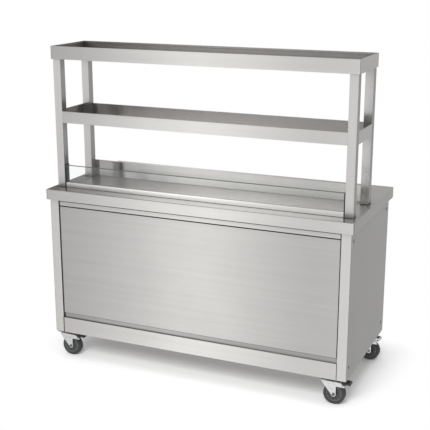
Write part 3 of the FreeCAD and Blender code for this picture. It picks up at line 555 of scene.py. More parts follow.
def soft_black(name, colour, roughness, grain_scale, dust):
    """Rubber or moulded plastic with a fine grain and a little dust."""
    groups = shared_groups()
    material, tree, shader, coordinates = new_material(name)
    place = coordinates.outputs["Object"]
    wiped = place_group(tree, groups["Handling"], Place=place)
    edges = place_group(tree, groups["Edges"], Radius=0.8 * MM)
    grain = noise(tree, place, scale=grain_scale, detail=3.0, roughness=0.6)
    dusty = four(colour, 0.55, 0.09)
    speckle = spread(tree, grain, 0.35, 0.75)
    base = blend_colours(tree, speckle, four(colour), four(colour, 1.5, 0.01))
    lightened_edges = blend_colours(tree, maths(tree, "MULTIPLY", edges.outputs["Edge"], 0.5), base, dusty)
    dusted = blend_colours(tree, maths(tree, "MULTIPLY", wiped.outputs["Clouds"], dust), lightened_edges, dusty)
    feed(tree, shader.inputs["Base Color"], dusted)
    rough = spread(tree, grain, 0.3, 0.7, roughness - 0.08, roughness + 0.08)
    feed(tree, shader.inputs["Roughness"], rough)
    raise_bump(tree, shader, grain, strength=0.12, distance=0.6 * MM, normal=edges.outputs["Normal"])
    return material


def clear_glass(name, colour):
    """Clear glass with faint wiping marks."""
    groups = shared_groups()
    material, tree, shader, coordinates = new_material(name)
    wiped = place_group(tree, groups["Handling"], Place=coordinates.outputs["Object"])
    tinted = blend_colours(tree, wiped.outputs["Clouds"], four(colour), four(colour, 0.985))
    feed(tree, shader.inputs["Base Color"], tinted)
    feed(tree, shader.inputs["Roughness"], maths(tree, "MULTIPLY", wiped.outputs["Specks"], 0.05))
    shader.inputs["Transmission Weight"].default_value = 1.0
    shader.inputs["IOR"].default_value = 1.5
    return material


def finish_node(material, *names):
    """Gives CAD nodes a material."""
    for name in names:
        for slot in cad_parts[name].material_slots:
            slot.material = material


# Mesh helpers

def new_piece(name, mesh, material, body, replaced=()):
    """A finished piece at the origin that rides on a body and may replace CAD nodes."""
    piece = bpy.data.objects.new(name, mesh)
    bpy.context.collection.objects.link(piece)
    if not mesh.materials:
        mesh.materials.append(material)
    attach(piece, body)
    if replaced:
        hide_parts(*replaced)
    return piece


def recoat(mesh, *materials):
    """Gives a mesh these materials in place of its own."""
    mesh.materials.clear()
    for material in materials:
        mesh.materials.append(material)


def smooth(mesh, degrees=35.0):
    """Shades a mesh smooth, with sharp edges kept."""
    mesh.polygons.foreach_set("use_smooth", [True] * len(mesh.polygons))
    mesh.set_sharp_from_angle(angle=math.radians(degrees))
    mesh.update()


def lathe(name, one_side, centre, steps):
    """A mesh turned about a line along Y, from half an outline of (radius, offset) and its mirror image."""
    profile = one_side + [(radius, -offset) for radius, offset in reversed(one_side)]
    work = bmesh.new()
    rings = []
    for step in range(steps):
        angle = 2.0 * math.pi * step / steps
        ring = [
            work.verts.new((
                centre[0] + radius * math.cos(angle),
                centre[1] + offset,
                centre[2] + radius * math.sin(angle)))
            for radius, offset in profile]
        rings.append(ring)
    count = len(profile)
    for step in range(steps):
        here, there = rings[step], rings[(step + 1) % steps]
        for index in range(count):
            after = (index + 1) % count
            work.faces.new((here[index], here[after], there[after], there[index]))
    return finish_mesh(work, name)


def quarter_round(radius, centre_radius, centre_offset, steps):
    """Points of an outline along a quarter circle, from its outmost to its widest."""
    points = []
    for step in range(steps + 1):
        angle = math.radians(90.0 * step / steps)
        points.append((centre_radius + radius * math.cos(angle), centre_offset + radius * math.sin(angle)))
    return points


def finish_mesh(work, name, degrees=35.0):
    """Turns work into a plain mesh with its faces outwards."""
    bmesh.ops.remove_doubles(work, verts=work.verts, dist=MERGE)
    bmesh.ops.recalc_face_normals(work, faces=work.faces)
    mesh = bpy.data.meshes.new(name)
    work.to_mesh(mesh)
    work.free()
    smooth(mesh, degrees)
    return mesh


def upright_bar(work, outline, bottom, top):
    """An upright bar with softened edges."""
    lower = [work.verts.new((x, y, bottom)) for x, y in outline]
    upper = [work.verts.new((x, y, top)) for x, y in outline]
    faces = [work.faces.new(lower), work.faces.new(upper)]
    for step in range(len(outline)):
        after = (step + 1) % len(outline)
        faces.append(work.faces.new((lower[step], lower[after], upper[after], upper[step])))
    edges = list({edge for face in faces for edge in face.edges})
    bmesh.ops.bevel(work, geom=edges, offset=0.5 * MM, segments=2, profile=0.5, affect="EDGES")


def rounded_copy(node, name, width):
    """A copy of a CAD node with its edges rounded."""
    work = bmesh.new()
    work.from_mesh(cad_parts[node].data)
    bmesh.ops.remove_doubles(work, verts=work.verts, dist=MERGE)
    bmesh.ops.dissolve_limit(
        work, angle_limit=math.radians(0.5), verts=work.verts, edges=work.edges)
    sharp = [edge for edge in work.edges
             if len(edge.link_faces) == 2 and edge.calc_face_angle(0.0) > math.radians(40.0)]
    bmesh.ops.bevel(
        work, geom=sharp, offset=width, offset_type="OFFSET", segments=2, profile=0.5,
        affect="EDGES", clamp_overlap=True)
    mesh = bpy.data.meshes.new(name)
    work.to_mesh(mesh)
    work.free()
    smooth(mesh, degrees=20.0)
    return mesh


# Geometry Nodes trees

def new_tree(name, sizes):
    """An empty Geometry Nodes tree with named inputs, and its two ends."""
    geometry = [("Geometry", "Geometry")]
    return new_group(name, geometry + sizes, geometry, "GeometryNodeTree")


def end_tree(tree, start, end, geometry):
    """Realises the instances and sets their material."""
    real = add_node(tree, "GeometryNodeRealizeInstances")
    tree.links.new(geometry, real.inputs[0])
    coat = add_node(tree, "GeometryNodeSetMaterial")
    tree.links.new(real.outputs[0], coat.inputs["Geometry"])
    tree.links.new(start.outputs["Material"], coat.inputs["Material"])
    tree.links.new(coat.outputs[0], end.inputs[0])


def shifted(tree, geometry, upwards):
    """Geometry moved along Z."""
    move = add_node(tree, "GeometryNodeTransform")
    tree.links.new(geometry, move.inputs["Geometry"])
    tree.links.new(combine(tree, z=upwards), move.inputs["Translation"])
    return move.outputs[0]


def joint_tree():
    """A round dark line along each edge, as painted shade."""
    tree, start, end = new_tree("Joint lines", [
        ("Radius", "Float"), ("Sides", "Int"), ("Material", "Material")])
    size = start.outputs
    path = add_node(tree, "GeometryNodeMeshToCurve")
    tree.links.new(size["Geometry"], path.inputs["Mesh"])
    section = add_node(tree, "GeometryNodeCurvePrimitiveCircle")
    feed(tree, section.inputs["Resolution"], size["Sides"])
    feed(tree, section.inputs["Radius"], size["Radius"])
    line = add_node(tree, "GeometryNodeCurveToMesh")
    tree.links.new(path.outputs[0], line.inputs["Curve"])
    tree.links.new(section.outputs[0], line.inputs["Profile Curve"])
    line.inputs["Fill Caps"].default_value = True
    end_tree(tree, start, end, line.outputs[0])
    return tree


def fastener_tree():
    """A head on each point, turned to face outwards, with a cross recess and a washer."""
    tree, start, end = new_tree("Fastener heads", [
        ("Head Radius", "Float"), ("Head Height", "Float"), ("Sides", "Int"), ("Cross Width", "Float"),
        ("Cross Depth", "Float"), ("Washer Radius", "Float"), ("Material", "Material")])
    size = start.outputs
    height = size["Head Height"]
    straight, half_straight, slope = [maths(tree, "MULTIPLY", height, share) for share in (0.6, 0.3, 0.4)]
    body = add_node(tree, "GeometryNodeMeshCylinder", fill_type="NGON")
    feed(tree, body.inputs["Vertices"], size["Sides"])
    feed(tree, body.inputs["Radius"], size["Head Radius"])
    feed(tree, body.inputs["Depth"], straight)
    crown = add_node(tree, "GeometryNodeMeshCone", fill_type="NGON")
    feed(tree, crown.inputs["Vertices"], size["Sides"])
    feed(tree, crown.inputs["Radius Bottom"], size["Head Radius"])
    feed(tree, crown.inputs["Radius Top"], maths(tree, "MULTIPLY", size["Head Radius"], 0.72))
    feed(tree, crown.inputs["Depth"], slope)
    union = add_node(tree, "GeometryNodeMeshBoolean", operation="UNION")
    tree.links.new(shifted(tree, body.outputs["Mesh"], half_straight), union.inputs["Mesh 2"])
    tree.links.new(shifted(tree, crown.outputs["Mesh"], straight), union.inputs["Mesh 2"])
    recess = add_node(tree, "GeometryNodeMeshBoolean", operation="DIFFERENCE")
    tree.links.new(union.outputs["Mesh"], recess.inputs["Mesh 1"])
    depth = maths(tree, "MULTIPLY", size["Cross Depth"], 2.0)
    reach = maths(tree, "MULTIPLY", size["Head Radius"], 1.1)
    for length, width in ((reach, size["Cross Width"]), (size["Cross Width"], reach)):
        arm = add_node(tree, "GeometryNodeMeshCube")
        tree.links.new(combine(tree, length, width, depth), arm.inputs["Size"])
        tree.links.new(shifted(tree, arm.outputs["Mesh"], height), recess.inputs["Mesh 2"])
    washer = add_node(tree, "GeometryNodeMeshCylinder", fill_type="NGON")
    washer.inputs["Vertices"].default_value = ROUND_SIDES
    feed(tree, washer.inputs["Radius"], size["Washer Radius"])
    feed(tree, washer.inputs["Depth"], half_straight)
    middle = maths(tree, "MULTIPLY", half_straight, 0.5)
    both = add_node(tree, "GeometryNodeJoinGeometry")
    tree.links.new(recess.outputs["Mesh"], both.inputs[0])
    tree.links.new(shifted(tree, washer.outputs["Mesh"], middle), both.inputs[0])
    outward = add_node(tree, "GeometryNodeInputNamedAttribute", data_type="FLOAT_VECTOR")
    outward.inputs["Name"].default_value = "outward"
    turn = add_node(tree, "FunctionNodeAlignRotationToVector", axis="Z")
    tree.links.new(outward.outputs["Attribute"], turn.inputs["Vector"])
    points = add_node(tree, "GeometryNodeMeshToPoints")
    tree.links.new(size["Geometry"], points.inputs["Mesh"])
    heads = add_node(tree, "GeometryNodeInstanceOnPoints")
    tree.links.new(points.outputs[0], heads.inputs["Points"])
    tree.links.new(both.outputs[0], heads.inputs["Instance"])
    tree.links.new(turn.outputs[0], heads.inputs["Rotation"])
    end_tree(tree, start, end, heads.outputs[0])
    return tree


def rib_tree():
    """Ribs round a wheel centre, each a bar that reaches out from the hub."""
    tree, start, end = new_tree("Wheel ribs", [
        ("Count", "Int"), ("Inner Radius", "Float"), ("Outer Radius", "Float"), ("Thickness", "Float"),
        ("Width", "Float"), ("Material", "Material")])
    size = start.outputs
    ring = add_node(tree, "GeometryNodeMeshCircle", fill_type="NONE")
    feed(tree, ring.inputs["Vertices"], size["Count"])
    across = maths(tree, "ADD", size["Inner Radius"], size["Outer Radius"])
    feed(tree, ring.inputs["Radius"], maths(tree, "MULTIPLY", across, 0.5))
    bar = add_node(tree, "GeometryNodeMeshCube")
    length = maths(tree, "SUBTRACT", size["Outer Radius"], size["Inner Radius"])
    tree.links.new(combine(tree, length, size["Thickness"], size["Width"]), bar.inputs["Size"])
    place = add_node(tree, "GeometryNodeInputPosition")
    turn = add_node(tree, "FunctionNodeAlignRotationToVector", axis="X", pivot_axis="Z")
    tree.links.new(place.outputs[0], turn.inputs["Vector"])
    bars = add_node(tree, "GeometryNodeInstanceOnPoints")
    tree.links.new(ring.outputs["Mesh"], bars.inputs["Points"])
    tree.links.new(bar.outputs["Mesh"], bars.inputs["Instance"])
    tree.links.new(turn.outputs[0], bars.inputs["Rotation"])
    stand = add_node(tree, "GeometryNodeTransform")
    tree.links.new(bars.outputs[0], stand.inputs["Geometry"])
    stand.inputs["Rotation"].default_value = (math.pi / 2.0, 0.0, 0.0)
    end_tree(tree, start, end, stand.outputs[0])
    return tree


def grown(tree, name, base, sizes):
    """The plain mesh that a tree makes from a base mesh with these sizes."""
    carrier = bpy.data.objects.new(name + "_carrier", base)
    bpy.context.collection.objects.link(carrier)
    modifier = carrier.modifiers.new("Grow", "NODES")
    modifier.node_group = tree
    for item in tree.interface.items_tree:
        if item.in_out == "INPUT" and item.name in sizes:
            modifier[item.identifier] = sizes[item.name]
    graph = bpy.context.evaluated_depsgraph_get()
    mesh = bpy.data.meshes.new_from_object(carrier.evaluated_get(graph))
    mesh.name = name
    carrier.modifiers.clear()
    bpy.data.objects.remove(carrier)
    return mesh


def edge_mesh(name, line):
    """A loose edge from one place to another in millimetres."""
    mesh = bpy.data.meshes.new(name)
    mesh.from_pydata([tuple(part * MM for part in place) for place in line], [(0, 1)], [])
    return mesh


def joined(name, meshes):
    """One mesh from several."""
    work = bmesh.new()
    for mesh in meshes:
        work.from_mesh(mesh)
    whole = bpy.data.meshes.new(name)
    work.to_mesh(whole)
    work.free()
    return whole


def point_mesh(name, points):
    """Loose points, each a place and the direction that it faces."""
    mesh = bpy.data.meshes.new(name)
    mesh.from_pydata([place for place, outward in points], [], [])
    facing = mesh.attributes.new("outward", "FLOAT_VECTOR", "POINT")
    facing.data.foreach_set("vector", [part for place, outward in points for part in outward])
    return mesh


# Operators

class SheetMetal(bpy.types.Operator):
    """Brushes the sheets, rails, posts, shelves and doors"""

    bl_idname = "counter.sheet_metal"
    bl_label = "Sheet metal"

    def execute(self, context):
        finish = settings("steel")
        rough = finish.sheet_roughness
        sheet = brushed_steel("brushed_sheet", finish.sheet_colour, rough)
        deck = brushed_steel(
            "deck_sheet", finish.sheet_colour, rough, ends=finish.rim_end_shade, level=finish.deck_roughness,
            crease=finish.deck_crease_shade, reach=finish.deck_reach)
        # Painted shade: the inside of each shelf is darkened by its own share.
        for shelf, depth in (("middle_shelf", finish.tray_shade), ("top_shelf", finish.top_shade)):
            finish_node(brushed_steel(
                shelf + "_sheet", finish.sheet_colour, rough, ends=finish.shelf_end_shade,
                level=finish.deck_roughness, crease=depth), shelf)
        guard = brushed_steel(
            "guard_sheet", finish.guard_colour, finish.guard_roughness, crease=0.0, lean=finish.guard_lean)
        channel = brushed_steel("channel_sheet", finish.channel_colour, finish.guard_roughness, crease=0.0)
        panel = brushed_steel("panel_sheet", finish.panel_colour, finish.panel_roughness)
        side = brushed_steel("end_sheet", finish.side_shade_colour, rough)
        ledge = brushed_steel(
            "ledge_sheet", finish.ledge_shade_colour, rough, crease=0.0, lean=finish.guard_lean)
        post = brushed_steel("post_tube", finish.tube_colour, finish.tube_roughness, upright=True)
        upright = brushed_steel(
            "upright_tube", finish.upright_colour, finish.tube_roughness, upright=True,
            ends=finish.tube_side_shade)
        finish_node(
            sheet, "inner_shelf", "cabinet_floor", "top_rail_front", "top_rail_rear", "bottom_rail_front",
            "bottom_rail_rear", "bottom_rail_left", "bottom_rail_right", "panel_stops")
        finish_node(deck, "counter_top")
        finish_node(guard, "back_guard")
        finish_node(channel, "glass_channel")
        finish_node(panel, "front_panel", "door_left", "door_right")
        finish_node(ledge, "ledge_strip")
        self.ledge_ends(ledge)
        finish_node(side, "side_panel_left", "side_panel_right")
        for corner in CORNERS:
            finish_node(post, "post_" + corner)
            finish_node(upright, "upright_" + corner)
        track = plated_metal("track_aluminium", settings("trim").track_colour, roughness=0.38)
        finish_node(track, "door_tracks")
        return {"FINISHED"}

    def ledge_ends(self, material):
        """Short closers between the ledge strip and the front posts."""
        low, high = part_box("ledge_strip")
        front, back = low.y + 0.1 * MM, low.y + 6.0 * MM
        softened = 0.5 * MM
        work = bmesh.new()
        for side in SIDES:
            inner, corner, outer = [side * (high.x + reach * MM) for reach in (-0.2, 4.4, 4.9)]
            outline = [
                (inner, front), (corner, front), (outer, front + softened), (outer, back), (inner, back)]
            upright_bar(work, outline, low.z + softened, high.z - softened)
        ends = finish_mesh(work, "ledge_ends", degrees=30.0)
        new_piece("ledge_ends", ends, material, "counter")


class PaintedShadowLines(bpy.types.Operator):
    """Draws thin dark lines in the joints between sheets, as painted shade in the gaps"""

    bl_idname = "counter.sealed_joints"
    bl_label = "Painted shadow lines"

    def execute(self, context):
        sizes = settings("joints")
        rubber_colour = settings("trim").rubber_colour
        # Painted shade: dark lines laid in the gaps and corners between sheets, where only shade falls.
        shadow_black = soft_black("painted_shadow_black", rubber_colour, roughness=0.6, grain_scale=900.0, dust=0.1)
        tree = joint_tree()
        # Radius, half length, depth and height of the level lines, the last three in millimetres
        level = (
            (sizes.rim_line, 689.0, -332.3, 803.2), (sizes.panel_line, 689.0, -327.0, 779.5),
            (sizes.channel_line, 681.0, -277.2, 860.4), (sizes.ledge_line, 689.0, -324.2, 236.2))
        rows = [(radius, ((-half, y, z), (half, y, z))) for radius, half, y, z in level]
        for side in SIDES:
            rail_line = sizes.shaded_line if side < 0.0 else sizes.rail_line
            # Radius, distance from the middle, depth, bottom and top of the upright lines
            upright = (
                (sizes.panel_line, 691.5, -330.0, 240.0, 806.0), (rail_line, 693.2, -335.4, 139.0, 215.0),
                (sizes.ledge_line, 692.6, -324.2, 216.0, 240.0),
                (sizes.corner_line, 749.0, -349.0, 812.0, 857.0),
                (sizes.corner_line, 731.6, -284.6, 1467.0, 1525.0))
            for radius, x, y, bottom, top in upright:
                rows.append((radius, ((side * x, y, bottom), (side * x, y, top))))
        meshes = []
        for radius, line in rows:
            meshes.append(grown(tree, "joint_line", edge_mesh("joint_edge", line), {
                "Radius": radius, "Sides": sizes.line_sides, "Material": shadow_black}))
        lines = joined("joint_lines", meshes)
        smooth(lines, degrees=50.0)
        new_piece("joint_lines", lines, shadow_black, "counter")
        return {"FINISHED"}


class GlassGuard(bpy.types.Operator):
    """Makes the front guard with its top edge coloured dark as painted shade, its end seals and the rubber
    pads
    """

    bl_idname = "counter.glass_guard"
    bl_label = "Glass guard"

    def execute(self, context):
        trim = settings("trim")
        glass = clear_glass("clear_glass", trim.glass_colour)
        rubber = soft_black(
            "black_rubber", trim.rubber_colour, roughness=0.55, grain_scale=900.0, dust=0.1)
        # Painted shade: a near-black band along the glass's top edge.
        ground = soft_black(
            "painted_glass_edge", trim.edge_colour, roughness=0.25, grain_scale=1500.0, dust=0.1)
        pane = rounded_copy("glass_guard", "glass_pane", width=1.0 * MM)
        recoat(pane, glass, ground)
        top = max(vertex.co.z for vertex in pane.vertices) - trim.edge_depth
        work = bmesh.new()
        work.from_mesh(pane)
        bmesh.ops.bisect_plane(
            work, geom=work.verts[:] + work.edges[:] + work.faces[:], plane_co=(0.0, 0.0, top),
            plane_no=(0.0, 0.0, 1.0))
        for face in work.faces:
            face.material_index = int(face.calc_center_median().z > top)
        work.to_mesh(pane)
        work.free()
        smooth(pane, degrees=20.0)
        guard = new_piece("glass_pane", pane, glass, "counter", ["glass_guard"])
        guard.visible_shadow = False
        low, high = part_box("glass_seal")
        front, back = low.y, low.y + trim.seal_reach
        work = bmesh.new()
        for side in SIDES:
            outer, corner, inner = [side * (high.x - inset * MM) for inset in (1.1, 4.0, 6.0)]
            outline = [
                (outer, front), (outer, back), (corner, back), (inner, back - 4.0 * MM), (inner, front)]
            upright_bar(work, outline, low.z + 0.1 * MM, high.z)
        seals = finish_mesh(work, "glass_end_seals", degrees=30.0)
        new_piece("glass_end_seals", seals, rubber, "counter", ["glass_seal"])
        # The caster pads are black rubber; their darkness is also painted shade for the dark band under the
        # cabinet.
        finish_node(rubber, "upright_foot_pads", "caster_pads")
        return {"FINISHED"}


class Fasteners(bpy.types.Operator):
    """Grows the end panels' screws with dark rings of painted shade under them, and the caster bolts"""

    bl_idname = "counter.fasteners"
    bl_label = "Fasteners"
    no_cross = 0.1 * MM

    def execute(self, context):
        sizes = settings("fasteners")
        trim = settings("trim")
        bright = plated_metal("bright_screws", trim.screw_colour, roughness=0.28)
        tree = fastener_tree()
        # Painted shade: a dark ring under each screw stands in for the shade round its head.
        ring_black = soft_black("shadow_ring_black", trim.rubber_colour, roughness=0.5, grain_scale=900.0, dust=0.1)
        # Faces of the end panels, and the screws' depths and heights on them
        face, depths, heights = 738.0 * MM, (-296.0 * MM, 274.0 * MM), (192.0 * MM, 768.0 * MM)
        screws = [
            ((side * face, y, z), (side, 0.0, 0.0)) for side in SIDES for y in depths for z in heights]
        self.heads("end_panel_screws", tree, screws, "bright_screws", ["side_panel_screws"], {
            "Head Radius": sizes.screw_radius, "Head Height": sizes.screw_height, "Sides": ROUND_SIDES,
            "Cross Width": sizes.cross_width, "Cross Depth": sizes.cross_depth,
            "Washer Radius": sizes.screw_radius * 0.98, "Material": bright})
        self.heads("screw_shadow_rings", tree, screws, "black_rubber", (), {
            "Head Radius": sizes.shadow_ring_radius, "Head Height": sizes.shadow_ring_height, "Sides": ROUND_SIDES,
            "Cross Width": self.no_cross, "Cross Depth": self.no_cross,
            "Washer Radius": sizes.shadow_ring_radius, "Material": ring_black})
        bolts = []
        spacing, plate_under = 34.0 * MM, 129.0 * MM
        for corner in CORNERS:
            low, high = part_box("caster_plate_" + corner)
            middle = (low + high) / 2.0
            for x in SIDES:
                for y in SIDES:
                    place = (middle.x + x * spacing, middle.y + y * spacing, plate_under)
                    bolts.append((place, (0.0, 0.0, -1.0)))
        self.heads("caster_bolt_heads", tree, bolts, "bright_screws", ["caster_bolts"], {
            "Head Radius": sizes.bolt_radius, "Head Height": sizes.bolt_height, "Sides": 6,
            "Cross Width": self.no_cross, "Cross Depth": self.no_cross,
            "Washer Radius": sizes.washer_radius, "Material": bright})
        return {"FINISHED"}

    def heads(self, name, tree, points, slot, replaced, sizes):
        """A piece with a head on each point."""
        mesh = grown(tree, name, point_mesh(name + "_places", points), sizes)
        smooth(mesh, degrees=30.0)
        new_piece(name, mesh, sizes["Material"], "counter", replaced)


class Casters(bpy.types.Operator):
    """Turns the wheels and tyres, rounds the forks and coats the axles, plates and pedals"""

    bl_idname = "counter.casters"
    bl_label = "Casters"

    def execute(self, context):
        sizes = settings("casters")
        trim = settings("trim")
        tyre = soft_black("grey_tyre", trim.tyre_colour, roughness=0.6, grain_scale=500.0, dust=0.5)
        hub = soft_black("grey_hub", trim.hub_colour, roughness=0.45, grain_scale=700.0, dust=0.3)
        pedal = soft_black("black_pedal", trim.pedal_colour, roughness=0.42, grain_scale=800.0, dust=0.15)
        zinc = plated_metal("zinc_plate", trim.zinc_colour, roughness=0.34)
        dark_steel_and_shade = plated_metal("dark_axle_and_shade", trim.axle_and_shade_colour, roughness=0.4)
        ribs = rib_tree()
        finish_node(zinc, "caster_kingpins")
        for corner in CORNERS:
            low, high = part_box("caster_tyre_" + corner)
            centre = (low + high) / 2.0
            # Painted shade: the caster plates are coloured dark, for the shade under the cabinet.
            finish_node(dark_steel_and_shade, "caster_axle_" + corner, "caster_plate_" + corner)
            self.tyre(corner, centre, sizes, tyre)
            self.wheel(corner, centre, sizes, hub, ribs)
            fork = rounded_copy("caster_fork_" + corner, "fork_" + corner, sizes.fork_edge)
            recoat(fork, zinc, dark_steel_and_shade)
            in_front = corner.startswith("front")
            # Painted shade: the collar at the top of a front fork is coloured dark.
            if in_front:
                for face in fork.polygons:
                    face.material_index = int(face.center.z > sizes.collar_shade_level)
            new_piece("fork_" + corner, fork, zinc, "caster_" + corner, ["caster_fork_" + corner])
            finish_node(pedal if in_front else zinc, "caster_pedal_" + corner)
        return {"FINISHED"}

    def tyre(self, corner, centre, sizes, material):
        """A grooved tyre with round shoulders."""
        outer, inner, depth = sizes.wheel_radius, sizes.rim_radius, sizes.groove_depth
        half, shoulder = 16.0 * MM, 6.0 * MM
        one_side = [(inner, 12.4 * MM), (inner + 2.2 * MM, 14.9 * MM), (inner + 4.5 * MM, 15.8 * MM)]
        one_side += reversed(quarter_round(shoulder, outer - shoulder, half - shoulder, steps=6))
        one_side += [
            (outer, 7.4 * MM), (outer - depth, 6.8 * MM), (outer - depth, 5.2 * MM), (outer, 4.6 * MM)]
        name = "tyre_" + corner
        mesh = lathe(name, one_side, centre, steps=96)
        new_piece(name, mesh, material, "wheel_" + corner, ["caster_tyre_" + corner])

    def wheel(self, corner, centre, sizes, material, ribs):
        """A moulded wheel centre with a rim, a web, a hub and ribs."""
        rim, hub = sizes.rim_radius, sizes.hub_radius
        one_side = [
            (4.15 * MM, 19.2 * MM), (hub - 2.4 * MM, 19.2 * MM), (hub - 1.6 * MM, 18.4 * MM),
            (hub - 0.6 * MM, 18.2 * MM), (hub, 17.4 * MM), (hub + 1.0 * MM, 4.4 * MM),
            (rim - 6.4 * MM, 4.4 * MM), (rim - 5.4 * MM, 12.0 * MM), (rim - 4.6 * MM, 13.0 * MM),
            (rim - 0.1 * MM, 13.0 * MM)]
        turned = lathe("turned_centre", one_side, centre, steps=72)
        web = grown(ribs, "wheel_ribs", bpy.data.meshes.new("rib_base"), {
            "Count": sizes.rib_count, "Inner Radius": hub + 0.2 * MM, "Outer Radius": rim - 5.6 * MM,
            "Thickness": sizes.rib_thickness, "Width": 22.0 * MM, "Material": material})
        web.transform(Matrix.Translation(centre))
        name = "wheel_centre_" + corner
        mesh = joined(name, [turned, web])
        smooth(mesh)
        new_piece(name, mesh, material, "wheel_" + corner, ["caster_wheel_" + corner])


class Studio(bpy.types.Operator):
    """Sets up the floor, background, lamps and camera"""

    bl_idname = "counter.studio"
    bl_label = "Studio"

    def execute(self, context):
        setup = settings("studio")
        scene = context.scene
        scene.view_settings.view_transform = "Standard"
        self.floor(setup)
        self.background(scene, setup)
        self.lamp(
            "top_lamp", setup.top_lamp, size=(4.0, 4.0), place=(0.2, -0.3, 4.2), target=(0.0, 0.0, 0.6))
        self.lamp(
            "front_lamp", setup.front_lamp, size=(2.4, 1.6), place=(0.5, -3.6, 3.0),
            target=(0.0, -0.33, 0.4))
        self.camera(scene, setup)
        return {"FINISHED"}

    def floor(self, setup):
        """A pale floor that keeps the counter's shadow."""
        work = bmesh.new()
        bmesh.ops.create_grid(work, x_segments=4, y_segments=4, size=1.0)
        half_length, half_depth = 1.7, 1.1
        bmesh.ops.scale(work, vec=(half_length, half_depth, 1.0), verts=work.verts)
        mesh = bpy.data.meshes.new("studio_floor")
        work.to_mesh(mesh)
        work.free()
        material = bpy.data.materials.new("studio_floor")
        material.use_nodes = True
        tree = material.node_tree
        tree.nodes.clear()
        output = add_node(tree, "ShaderNodeOutputMaterial")
        paint = add_node(tree, "ShaderNodeBsdfDiffuse")
        paint.inputs["Color"].default_value = four(setup.floor_colour)
        glow = add_node(tree, "ShaderNodeEmission")
        coordinates = add_node(tree, "ShaderNodeTexCoord")
        place = separate(tree, coordinates.outputs["Object"])
        squares = []
        for part, reach in zip(place[:2], cad_box[1]):
            past = maths(tree, "SUBTRACT", maths(tree, "ABSOLUTE", part), reach)
            over = maths(tree, "MAXIMUM", past, 0.0)
            squares.append(maths(tree, "MULTIPLY", over, over))
        away = maths(tree, "SQRT", maths(tree, "ADD", *squares))
        faded = spread(tree, away, 0.0, setup.floor_fade)
        path = add_node(tree, "ShaderNodeLightPath")
        seen = maths(tree, "MAXIMUM", path.outputs["Is Camera Ray"], path.outputs["Is Transmission Ray"])
        lift = add_node(tree, "ShaderNodeEmission")
        feed(tree, lift.inputs["Strength"], maths(tree, "MULTIPLY", seen, setup.floor_glow))
        lifted = add_node(tree, "ShaderNodeAddShader")
        tree.links.new(paint.outputs[0], lifted.inputs[0])
        tree.links.new(lift.outputs[0], lifted.inputs[1])
        both = add_node(tree, "ShaderNodeMixShader")
        feed(tree, both.inputs[0], maths(tree, "MULTIPLY", seen, faded))
        tree.links.new(lifted.outputs[0], both.inputs[1])
        tree.links.new(glow.outputs[0], both.inputs[2])
        tree.links.new(both.outputs[0], output.inputs["Surface"])
        mesh.materials.append(material)
        ground = bpy.data.objects.new("studio_floor", mesh)
        bpy.context.collection.objects.link(ground)
        ground.visible_glossy = False

    def background(self, scene, setup):
        """A white room for the camera and glass, and for metal a room whose walls vary."""
        world = bpy.data.worlds.new("studio_room")
        scene.world = world
        world.use_nodes = True
        tree = world.node_tree
        tree.nodes.clear()
        output = add_node(tree, "ShaderNodeOutputWorld")
        path = add_node(tree, "ShaderNodeLightPath")
        place = add_node(tree, "ShaderNodeTexCoord")
        x, y, z = separate(tree, place.outputs["Generated"])
        turn = maths(tree, "ARCTAN2", x, maths(tree, "MULTIPLY", y, -1.0))
        front = self.wall(tree, turn, LOW_FRONT)
        for bottom, top, levels in FRONT_STEPS:
            share = spread(tree, z, bottom, top)
            front = blend_values(tree, share, front, self.wall(tree, turn, levels))
        back = self.wall(tree, maths(tree, "ARCTAN2", x, y), BACK_WALL)
        metal_level = blend_values(tree, spread(tree, y, *BACK_STEP), front, back)
        metal_level = maths(tree, "MULTIPLY", metal_level, setup.room_level)
        white = maths(tree, "MAXIMUM", path.outputs["Is Camera Ray"], path.outputs["Is Transmission Ray"])
        level = blend_values(tree, white, setup.sky_level, 1.0)
        by_metal = maths(tree, "GREATER_THAN", path.outputs["Glossy Depth"], 0.5)
        level = blend_values(tree, by_metal, level, metal_level)
        room = add_node(tree, "ShaderNodeBackground")
        feed(tree, room.inputs["Strength"], level)
        room.inputs["Color"].default_value = (1.0, 1.0, 1.0, 1.0)
        tree.links.new(room.outputs[0], output.inputs["Surface"])

    def wall(self, tree, turn, levels):
        """The light that metal takes from a wall, by the turn towards it."""
        first, last = levels[0][0], levels[-1][0]
        ramp = add_node(tree, "ShaderNodeValToRGB")
        ramp.color_ramp.interpolation = "EASE"
        stops = ramp.color_ramp.elements
        while len(stops) < len(levels):
            stops.new(0.5)
        for stop, (degrees, level) in zip(stops, levels):
            stop.position = (degrees - first) / (last - first)
            stop.color = four([level / WALL_SCALE] * 3)
        share = spread(tree, turn, math.radians(first), math.radians(last))
        feed(tree, ramp.inputs[0], share)
        return maths(tree, "MULTIPLY", ramp.outputs[0], WALL_SCALE)

    def lamp(self, name, power, size, place, target):
        """A soft rectangular lamp that faces a point."""
        light = bpy.data.lights.new(name, "AREA")
        light.shape = "RECTANGLE"
        light.energy = power
        light.size, light.size_y = size
        lamp = bpy.data.objects.new(name, light)
        bpy.context.collection.objects.link(lamp)
        lamp.location = place
        lamp.rotation_euler = (Vector(target) - Vector(place)).to_track_quat("-Z", "Y").to_euler()
        lamp.visible_glossy = False
        lamp.visible_transmission = False

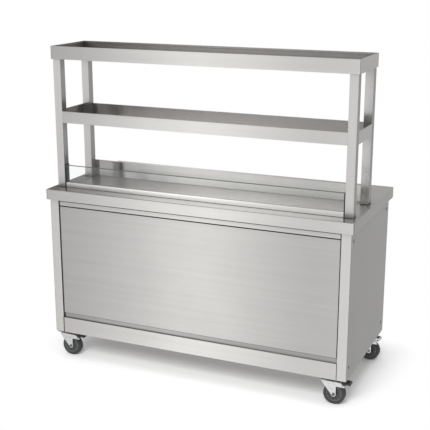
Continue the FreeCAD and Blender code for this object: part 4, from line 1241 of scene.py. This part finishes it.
    def camera(self, scene, setup):
        """The camera at the photograph's viewing angle."""
        data = bpy.data.cameras.new("photo_camera")
        data.sensor_width = 36.0
        data.sensor_fit = "HORIZONTAL"
        data.lens = setup.focal_length
        data.clip_start, data.clip_end = 0.1, 100.0
        camera = bpy.data.objects.new("photo_camera", data)
        bpy.context.collection.objects.link(camera)
        place, target = Vector(setup.camera_place), Vector(setup.camera_target)
        camera.location = place
        camera.rotation_euler = (target - place).to_track_quat("-Z", "Y").to_euler()
        scene.camera = camera


OPERATORS = (SheetMetal, PaintedShadowLines, GlassGuard, Fasteners, Casters, Studio)
SETTINGS = (
    ("steel", SteelFinish), ("trim", TrimFinish), ("fasteners", FastenerSizes), ("joints", JointSizes),
    ("casters", CasterSizes), ("studio", StudioSetup))


class CounterPanel(bpy.types.Panel):
    """Lists the counter's settings and steps"""

    bl_idname = "VIEW3D_PT_counter"
    bl_label = "Juice display counter"
    bl_space_type = "VIEW_3D"
    bl_region_type = "UI"
    bl_category = "Counter"

    def draw(self, context):
        for operator in OPERATORS:
            self.layout.operator(operator.bl_idname)
        for name, group in SETTINGS:
            box = self.layout.box()
            for label in group.__annotations__:
                box.prop(settings(name), label)


def register():
    """Adds the settings, operators and panel."""
    for name, group in SETTINGS:
        bpy.utils.register_class(group)
        setattr(bpy.types.Scene, "counter_" + name, PointerProperty(type=group))
    for kind in OPERATORS:
        bpy.utils.register_class(kind)
    bpy.utils.register_class(CounterPanel)


def unregister():
    """Takes the settings, operators and panel away."""
    bpy.utils.unregister_class(CounterPanel)
    for kind in reversed(OPERATORS):
        bpy.utils.unregister_class(kind)
    for name, group in reversed(SETTINGS):
        delattr(bpy.types.Scene, "counter_" + name)
        bpy.utils.unregister_class(group)


def main():
    """Dresses the counter step by step."""
    register()
    bpy.ops.counter.sheet_metal()
    bpy.ops.counter.sealed_joints()
    bpy.ops.counter.glass_guard()
    bpy.ops.counter.fasteners()
    bpy.ops.counter.casters()
    bpy.ops.counter.studio()


if __name__ == "__main__":
    main()
